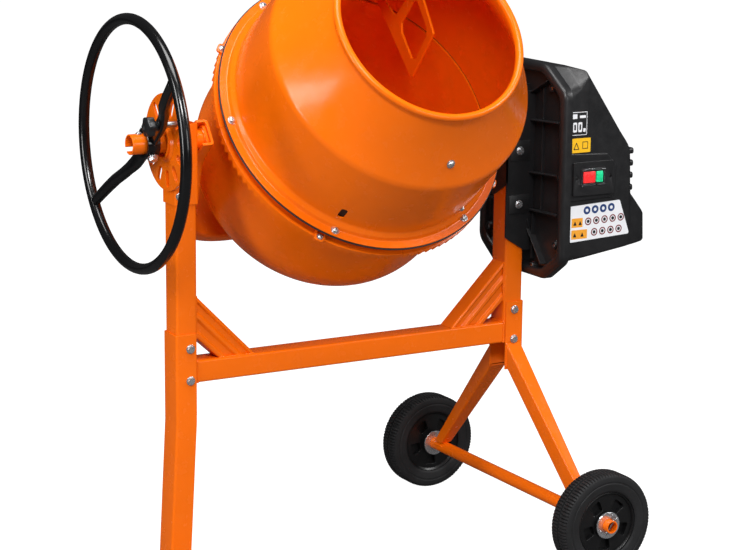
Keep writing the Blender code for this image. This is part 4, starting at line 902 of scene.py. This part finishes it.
def build_tray():
    """The ribbed half of the housing: a rolled lip about a sunken floor."""
    low, high = span("housing_tray")
    front, back = low.x, high.x

    def ring(inset, x):
        return lifted(x, housing_outline(527 + inset, 950 - inset, 148 - inset, 76 - inset * 0.6,
                                         50 - inset * 0.3, 62 - inset * 0.4, 44 - inset * 0.3, 30))
    lip = [ring(10 + 10 * cos(a), front + 9 - 9 * sin(a)) for a in (pi * k / 10 for k in range(11))]
    inside = ((0, back), (3, back), (3, front + 9), (17, front + 9), (18, back - 3))
    loops = [ring(22, back - 6), ring(20.6, back - 8)] + lip + [ring(*spot) for spot in inside]
    tray = piece("ribbed_tray", skin(loops), "plastic", "stand", "housing_tray", smooth=40)
    bore(tray, 24, 60, 48, (back, 0, HUB_Z), RIGHT)
    floor = back - 6.2
    ribs = []
    lines = [((0, z), (122, z + tilt), 12) for z, tilt in ((833, 6), (729, 7), (656, 3))]
    lines += [((4, 876), (84, 917), 14), ((4, 876), (4, 902), 12), ((0, 652), (78, 556), 14),
              ((36, 560), (36, 652), 8), ((60, 660), (60, 900), 5)]
    for s in (-1, 1):
        for (y0, z0), (y1, z1), tall in lines:
            start, stop = Vector((s * y0, z0)), Vector((s * y1, z1))
            along = (stop - start).normalized()
            side = Vector((-along.y, along.x)) * 1.3
            outline = [tuple(p) for p in (start - side, stop - side, stop + side, start + side)]
            ribs.append(prism(outline, floor - tall, floor + 1, "x"))
    piece("tray_ribs", ribs, "plastic", bevel=0.7)
    bosses = []
    screws = []
    boss = [(0, -1), (9.5, -1), (8, 9), (7.4, 10), (4.6, 10), (4.4, 7), (0, 7)]
    for y, z in [(s * y, z) for s in (-1, 1) for y, z in ((95, 904), (126, 735), (116, 600), (40, 545))]:
        bosses.append(placed(lathe(boss, 32), (floor, y, z), LEFT))
        screws.append(placed(pan_head(4, 2.4), (floor - 7.2, y, z), LEFT))
    piece("tray_bosses", bosses, "plastic")
    piece("tray_screws", screws, "steel")


def build_saddle():
    """The black clamp on the right post, with its stiffening ridges."""
    low, high = span("post_saddle")
    wall = 3.4
    front = low.y
    outline = filleted([(low.x, 604), (383, 576), (high.x, 576), (high.x, high.z),
                        (low.x, high.z)], [4, 3, 2, 8, 6], 4)
    side = filleted([(front, 711), (high.y, 680), (high.y, high.z), (front, high.z)], [3, 4, 12, 5], 4)
    parts = [prism(outline, front, front + wall, "y"), prism(side, low.x, low.x + wall, "x")]
    for z0, z1 in ((755, 795), (650, 688)):
        pad = filleted([(low.x + 6, z0), (392, z0), (392, z1), (low.x + 6, z1)], 4, 4)
        parts.append(prism(pad, front - 1.2, front + 1, "y", 0.8))
    brace = filleted([(388, 640), (high.x, 600), (high.x, 594), (386, 634)], 1, 2)
    parts.append(prism(brace, front - 3, front + 1, "y"))
    made = piece("saddle_clamp", parts, "plastic", "stand", "post_saddle", bevel=0.6)
    bore(made, 19.6, 20, 48, (low.x, 0, HUB_Z), RIGHT)


COVER = (  # x, low, high, half width, upper cut (y, z), softness of the corners
    (408.4, 568, 947, 143, 76, 44, 30), (428, 572, 946, 143, 52, 36, 22),
    (447, 575, 939, 143, 12, 12, 4), (531, 586.5, 818, 143, 12, 12, 4), (545, 588.5, 799, 143, 11, 11, 4),
    (551, 589.5, 789, 143, 10, 10, 4), (554, 590, 699, 142.5, 8, 8, 4), (571, 592.5, 678, 142, 7, 7, 4),
    (587, 595.5, 657, 141, 5, 5, 3), (588.8, 597, 653, 139, 4, 4, 3))
COVER_FACE = -143
FACE_CUT = (-160, -134, "y")  # right through the cover's front wall


def cover_at(x):
    """The cover's measures at x, with its breaks softened."""
    total = [0] * 6
    samples = [x + shift for shift in (-1.6, -0.8, 0, 0.8, 1.6)]
    for s in samples:
        s = min(max(s, COVER[0][0]), COVER[-1][0])
        a, b = next((a, b) for a, b in zip(COVER, COVER[1:]) if a[0] <= s <= b[0])
        t = (s - a[0]) / (b[0] - a[0])
        for k in range(6):
            total[k] += (a[k + 1] * (1 - t) + b[k + 1] * t) / len(samples)
    return total


def build_cover():
    start, end = COVER[0][0], COVER[-1][0]
    spots = [x + shift for x, *_ in COVER for shift in (-2, -1.2, -0.4, 0.4, 1.2, 2)]
    spots = [start] + sorted(x for x in spots if start < x < end) + [end]
    wall = 3

    def ring(x, inset, shift=0):
        low, high, half, cut_y, cut_z, soft = cover_at(x)
        base = max(4, 10 - (x - start) * 0.2)
        return lifted(x - shift, housing_outline(low + inset, high - inset, half - inset, cut_y, cut_z,
                                                 base, base, soft))
    outside = [ring(x, 0) for x in spots]
    outside.append([(end + 0.2, y * 0.96, 627 + (z - 627) * 0.9) for _, y, z in outside[-1]])
    inside = [ring(start, wall)] + [ring(x, wall, wall) for x in spots if start + 4 < x < end - 4]
    cover = piece("motor_cover", skin(inside[::-1] + outside), "plastic", "stand", "housing_cover",
                  smooth=40)
    cut(cover, prism(box(430, 482, 721, 749, 2), *FACE_CUT), smooth=40)
    fins = []
    for z in (705, 729, 753, 777):
        outline = filleted([(-138, z - 6), (138, z - 6), (138, z + 6), (-138, z + 6)], 5, 4)
        fins.append(prism(outline, 545, 561.5, "x", 2.5))
    piece("vent_louvres", fins, "plastic")
    surround = filleted([(403, 690), (512, 693), (514, 753), (492, 777), (403, 781)], [3, 9, 6, 6, 3], 5)
    centre = Vector((460, 735))
    loops = []
    for grow, rise in ((1.035, -1), (1.035, 0.1), (1.02, 1.6), (1, 2.4), (0.985, 2.6), (0.96, 2.6)):
        loops.append([(p.x, COVER_FACE - rise, p.y)
                      for p in (centre + (Vector(p) - centre) * grow for p in surround)])
    pad = piece("switch_surround", skin(loops), "plastic", smooth=40)
    cut(pad, prism(box(411.2, 505.8, 700.2, 764.8, 2), *FACE_CUT))
    seam = lifted(408.2, housing_outline(529, 948, 146, 75, 49, 60, 43, 30))
    piece("housing_seam", swept(seam, 1.3, 8, closed=True), "seal")


def build_switch():
    low, high = span("switch_plate")
    front = low.y
    window = box(431.2, 480.8, 722.2, 747.8, 1.5)
    plate = perforated(box(low.x, high.x, low.z, high.z, 3), [window[::-1]], front, high.y, "y")
    made = piece("switch_box_plate", plate, "plastic", "stand", "switch_plate", bevel=0.9)
    screws = []
    for x, z in ((418.5, 735), (496.5, 734.5)):
        bore(made, 3.6, 3, 28, (x, front, z), FRONT)
        screws.append(placed(pan_head(3.2, 1.6), (x, front + 2.6, z), FRONT))
    piece("switch_screws", screws, "plastic")
    bezel = tube(box(427.5, 484.5, 718.6, 752.6, 3), box(431.5, 480.5, 722.4, 747.6, 2),
                 front - 1.6, front + 0.4, "y")
    piece("switch_bezel", bezel, "plastic", bevel=0.5)
    for name, body, look in (("stop_button", "stop_key", "red"), ("start_button", "start_key", "green")):
        low, high = span(name)
        x, z = (low.x + high.x) / 2, (low.z + high.z) / 2
        mark = low.y - 0.25, low.y + 0.3, "y"
        if look == "red":
            sign = tube(arc((x, z), 5.2, 0, 345, 23), arc((x, z), 3.9, 0, 345, 23), *mark)
        else:
            sign = prism(box(x - 0.8, x + 0.8, z - 5, z + 5, 0.7), *mark)
        cap = prism(box(low.x, high.x, low.z, high.z, 2.2), low.y, high.y, "y", 0.9)
        piece(name + "_cap", [cap, sign], look, body, name)
    low, high = span("switch_flap")
    x = (low.x + high.x) / 2
    shell = perforated(box(low.x, high.x, low.z, high.z, 3.5), [], low.y, high.y - 0.8, "y")
    barrel = placed(rod(1, -27, 27, 16), (x, high.y - 1, high.z - 1), RIGHT)
    grip = prism(box(x - 9, x + 9, low.z, low.z + 3, 1), low.y, high.y, "y", 0.3)
    flap = piece("clear_flap", [shell, barrel, grip], "clear", "flap", "switch_flap", bevel=0.4)
    flap.visible_shadow = False


def build_inlet():
    low, high = span("power_inlet")
    x, y = (low.x + high.x) / 2, (low.y + high.y) / 2
    top = high.z + 18  # inside the cover
    outline = [(0, top), (17, top), (17, low.z + 1), (16.2, low.z), (14.2, low.z), (13.5, low.z + 1),
               (13.5, high.z - 6), (0, high.z - 6)]
    piece("inlet_socket", moved(lathe(outline, 48), Matrix.Translation((x, y, 0))), "plastic", "stand",
          "power_inlet", bevel=0.3)
    pin = [(0, high.z - 14), (2, high.z - 14), (2.2, high.z - 6), (0, high.z - 6)]
    pins = [moved(lathe(pin, 16), Matrix.Translation((x + dx, y + dy, 0)))
            for dx, dy in ((-6, 0), (6, 0), (0, 6))]
    piece("inlet_pins", pins, "steel")


# ---- labels ----
def label(name, sheets):
    """A printed label on the housing's front: layers of (outline, holes, ink, layer)."""
    inks = list(dict.fromkeys(ink for _, _, ink, _ in sheets))
    parts = []
    for outline, holes, ink, layer in sheets:
        y = COVER_FACE - 0.05 - 0.12 * layer
        part = perforated(outline, holes, y - 0.12, y + 0.1, "y")
        for face in part.faces:
            face.material_index = inks.index(ink)
        parts.append(part)
    made = shown(name, moved(joined(parts), STAND))
    for ink in inks:
        made.data.materials.append(INKS[ink])
    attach(made, "stand")


def framed(outline, inner, ink, layer):
    return outline, [inner[::-1]], ink, layer


def build_labels():
    """Plain panels with blank boxes, discs and rings: no words, marks or pictures."""
    sheets = [(box(406, 443.5, 817, 862, 1.5), [], "white", 0),
              (box(407.2, 442.3, 818.2, 860.8, 1), [], "black", 1),
              (box(409, 420, 849, 858, 0.8), [], "white", 2),
              (box(426, 440, 850, 855, 0.8), [], "white", 2)]
    sheets += [framed(box(x, x + 9, 823, 842, 2.5), box(x + 2.5, x + 6.5, 827, 838, 1),
                      "white", 2) for x in (411, 423)]
    sheets.append((box(435, 440, 823, 830, 1), [], "white", 2))
    label("level_label", sheets)
    label("caution_label", [
        (box(406.5, 453, 783, 811, 2), [], "yellow", 0),
        framed(filleted([(413, 789), (427, 789), (420, 804)], 0.8, 2),
               filleted([(415.6, 790.6), (424.4, 790.6), (420, 800.4)], 0.5, 2), "black", 1),
        framed(box(434, 447, 790, 804, 1), box(435.4, 445.6, 791.4, 802.6, 0.8),
               "black", 1)])
    corners = [(409, 608), (552, 615), (527, 684), (409, 679)]
    sheets = [(filleted(corners, [4, 4, 5, 4], 4), [], "white", 0)]
    for x, z, count, step, ink, size, hollow in (
            (449.5, 669, 4, 19.2, "blue", 8, 0), (453, 647, 5, 19.4, "red", 7.6, 2.3),
            (468, 625, 4, 19.4, "red", 7.6, 2.3)):
        for i in range(count):
            centre = (x + i * step, z + i * 0.6)
            holes = [arc(centre, size - hollow, 0, -350, 35)] if hollow else []
            sheets.append((arc(centre, size, 0, 350, 35), holes, ink, 1))
            sheets.append((arc(centre, 3.4, 0, 340, 17), [], "black" if hollow else "white", 2))
    for z, wide in ((637, 26), (614, 37)):
        sheets.append((box(414, 414 + wide, z, z + 18, 1), [], "amber", 1))
        for x in (418, 417 + wide / 2):
            sheets.append((filleted([(x, z + 4), (x + 8, z + 4), (x + 4, z + 13)], 0.8, 2), [], "black", 2))
    label("care_label", sheets)


# ---- what stays as CAD ----
def dress_frame_nodes():
    finishes = {slot: finish for key, (finish, slot) in LOOKS.items() if key != "rim"}
    slots = {part["node"]: part["material_slot"] for part in frame["record"]["subparts"]}
    for name, shape in frame["nodes"].items():
        finish = finishes[slots[name]]
        if not shape.material_slots:
            shape.data.materials.append(finish)
        for holder in shape.material_slots:
            holder.material = finish


# ---- stage ----
SOFTBOXES = {  # place and target in metres, size, power
    "top": ((-0.4, -0.6, 3.6), (0, 0, 0.7), (2, 1.6), 84),
    "key": ((-1.7, -3.2, 3.3), (-0.07, -0.2, 0.95), (1.1, 0.9), 105),
    "left": ((-3.4, -0.6, 1.7), (0, 0, 0.7), (0.7, 2.4), 62),
    "front": ((0.9, -4.2, 1.6), (0, 0, 0.7), (1.4, 1.2), 26),
    "right": ((2.9, -2.3, 2.9), (0, 0, 0.7), (0.9, 1.1), 66),
}


def build_floor():
    """A pale floor that looks white, but throws back only a little light and less of a reflection."""
    bm = bmesh.new()
    bmesh.ops.create_grid(bm, x_segments=2, y_segments=2, size=40)
    floor = shown("studio_floor", bm)
    finish = material("pale_floor", (0.4, 0.4, 0.4), 0.9, mottle=0.004, grain=0)
    tree = finish.node_tree
    shader = tree.nodes["Principled BSDF"]
    ray = node(tree, "LightPath").outputs
    tree.links.new(ray["Is Camera Ray"], shader.inputs["Emission Strength"])
    base = mixed(tree, ray["Is Glossy Ray"], (0.26, 0.26, 0.26, 1), (0.07, 0.07, 0.07, 1))
    tree.links.new(base, shader.inputs["Base Color"])
    shader.inputs["Emission Color"].default_value = (1, 1, 1, 1)
    floor.data.materials.append(finish)


def build_lights():
    world = bpy.data.worlds.new("studio")
    bpy.context.scene.world = world
    world.use_nodes = True
    tree = world.node_tree
    sky = tree.nodes["Background"]
    sky.inputs["Color"].default_value = (1, 1, 1, 1)
    ray = node(tree, "LightPath").outputs
    soft = ranged(tree, ray["Is Diffuse Ray"], 0.05, 0.15, 0, 1)
    seen = node(tree, "Math", operation="MAXIMUM")
    tree.links.new(soft, seen.inputs[0])
    tree.links.new(ray["Is Camera Ray"], seen.inputs[1])
    tree.links.new(seen.outputs["Value"], sky.inputs["Strength"])
    for name, (place, target, size, power) in SOFTBOXES.items():
        lamp = bpy.data.lights.new(name + "_softbox", "AREA")
        lamp.shape = "RECTANGLE"
        lamp.size, lamp.size_y = size
        lamp.energy = power
        made = linked(name + "_softbox", lamp)
        made.location = place
        made.rotation_euler = (Vector(target) - Vector(place)).to_track_quat("-Z", "Y").to_euler()


CAMERA_PLACE = (-2022.3, -3582.7, 1436.4)
CAMERA_TURNS = (29.928, -12.053, 0.585)  # yaw, pitch and roll in degrees
CAMERA_LENS, CAMERA_SENSOR = 108.86, 36


def build_camera():
    yaw, pitch, roll = (radians(a) for a in CAMERA_TURNS)
    forward = Vector((sin(yaw) * cos(pitch), cos(yaw) * cos(pitch), sin(pitch)))
    right = Vector((cos(yaw), -sin(yaw), 0))
    up = right.cross(forward)
    side = right * cos(roll) + up * sin(roll)
    top = up * cos(roll) - right * sin(roll)
    data = bpy.data.cameras.new("camera")
    data.lens = CAMERA_LENS
    data.sensor_width = CAMERA_SENSOR
    camera = linked("camera", data)
    camera.matrix_world = (Matrix.Translation(STAND @ Vector(CAMERA_PLACE))
                           @ Matrix((side, top, -forward)).transposed().to_4x4())
    bpy.context.scene.camera = camera


bpy.context.scene.view_settings.view_transform = "Standard"
build_camera()
build_floor()
build_lights()
dress_frame_nodes()
build_posts()
build_left_leg()
build_axle_frame()
build_bolts()
build_braces()
build_tilt_bracket()
build_wheels()
build_drum()
build_ring_gear()
build_blades()
build_spindle()
build_trunnions(build_yoke())
build_handwheel()
build_tray()
build_saddle()
build_cover()
build_switch()
build_inlet()
build_labels()

bpy.context.view_layer.update()
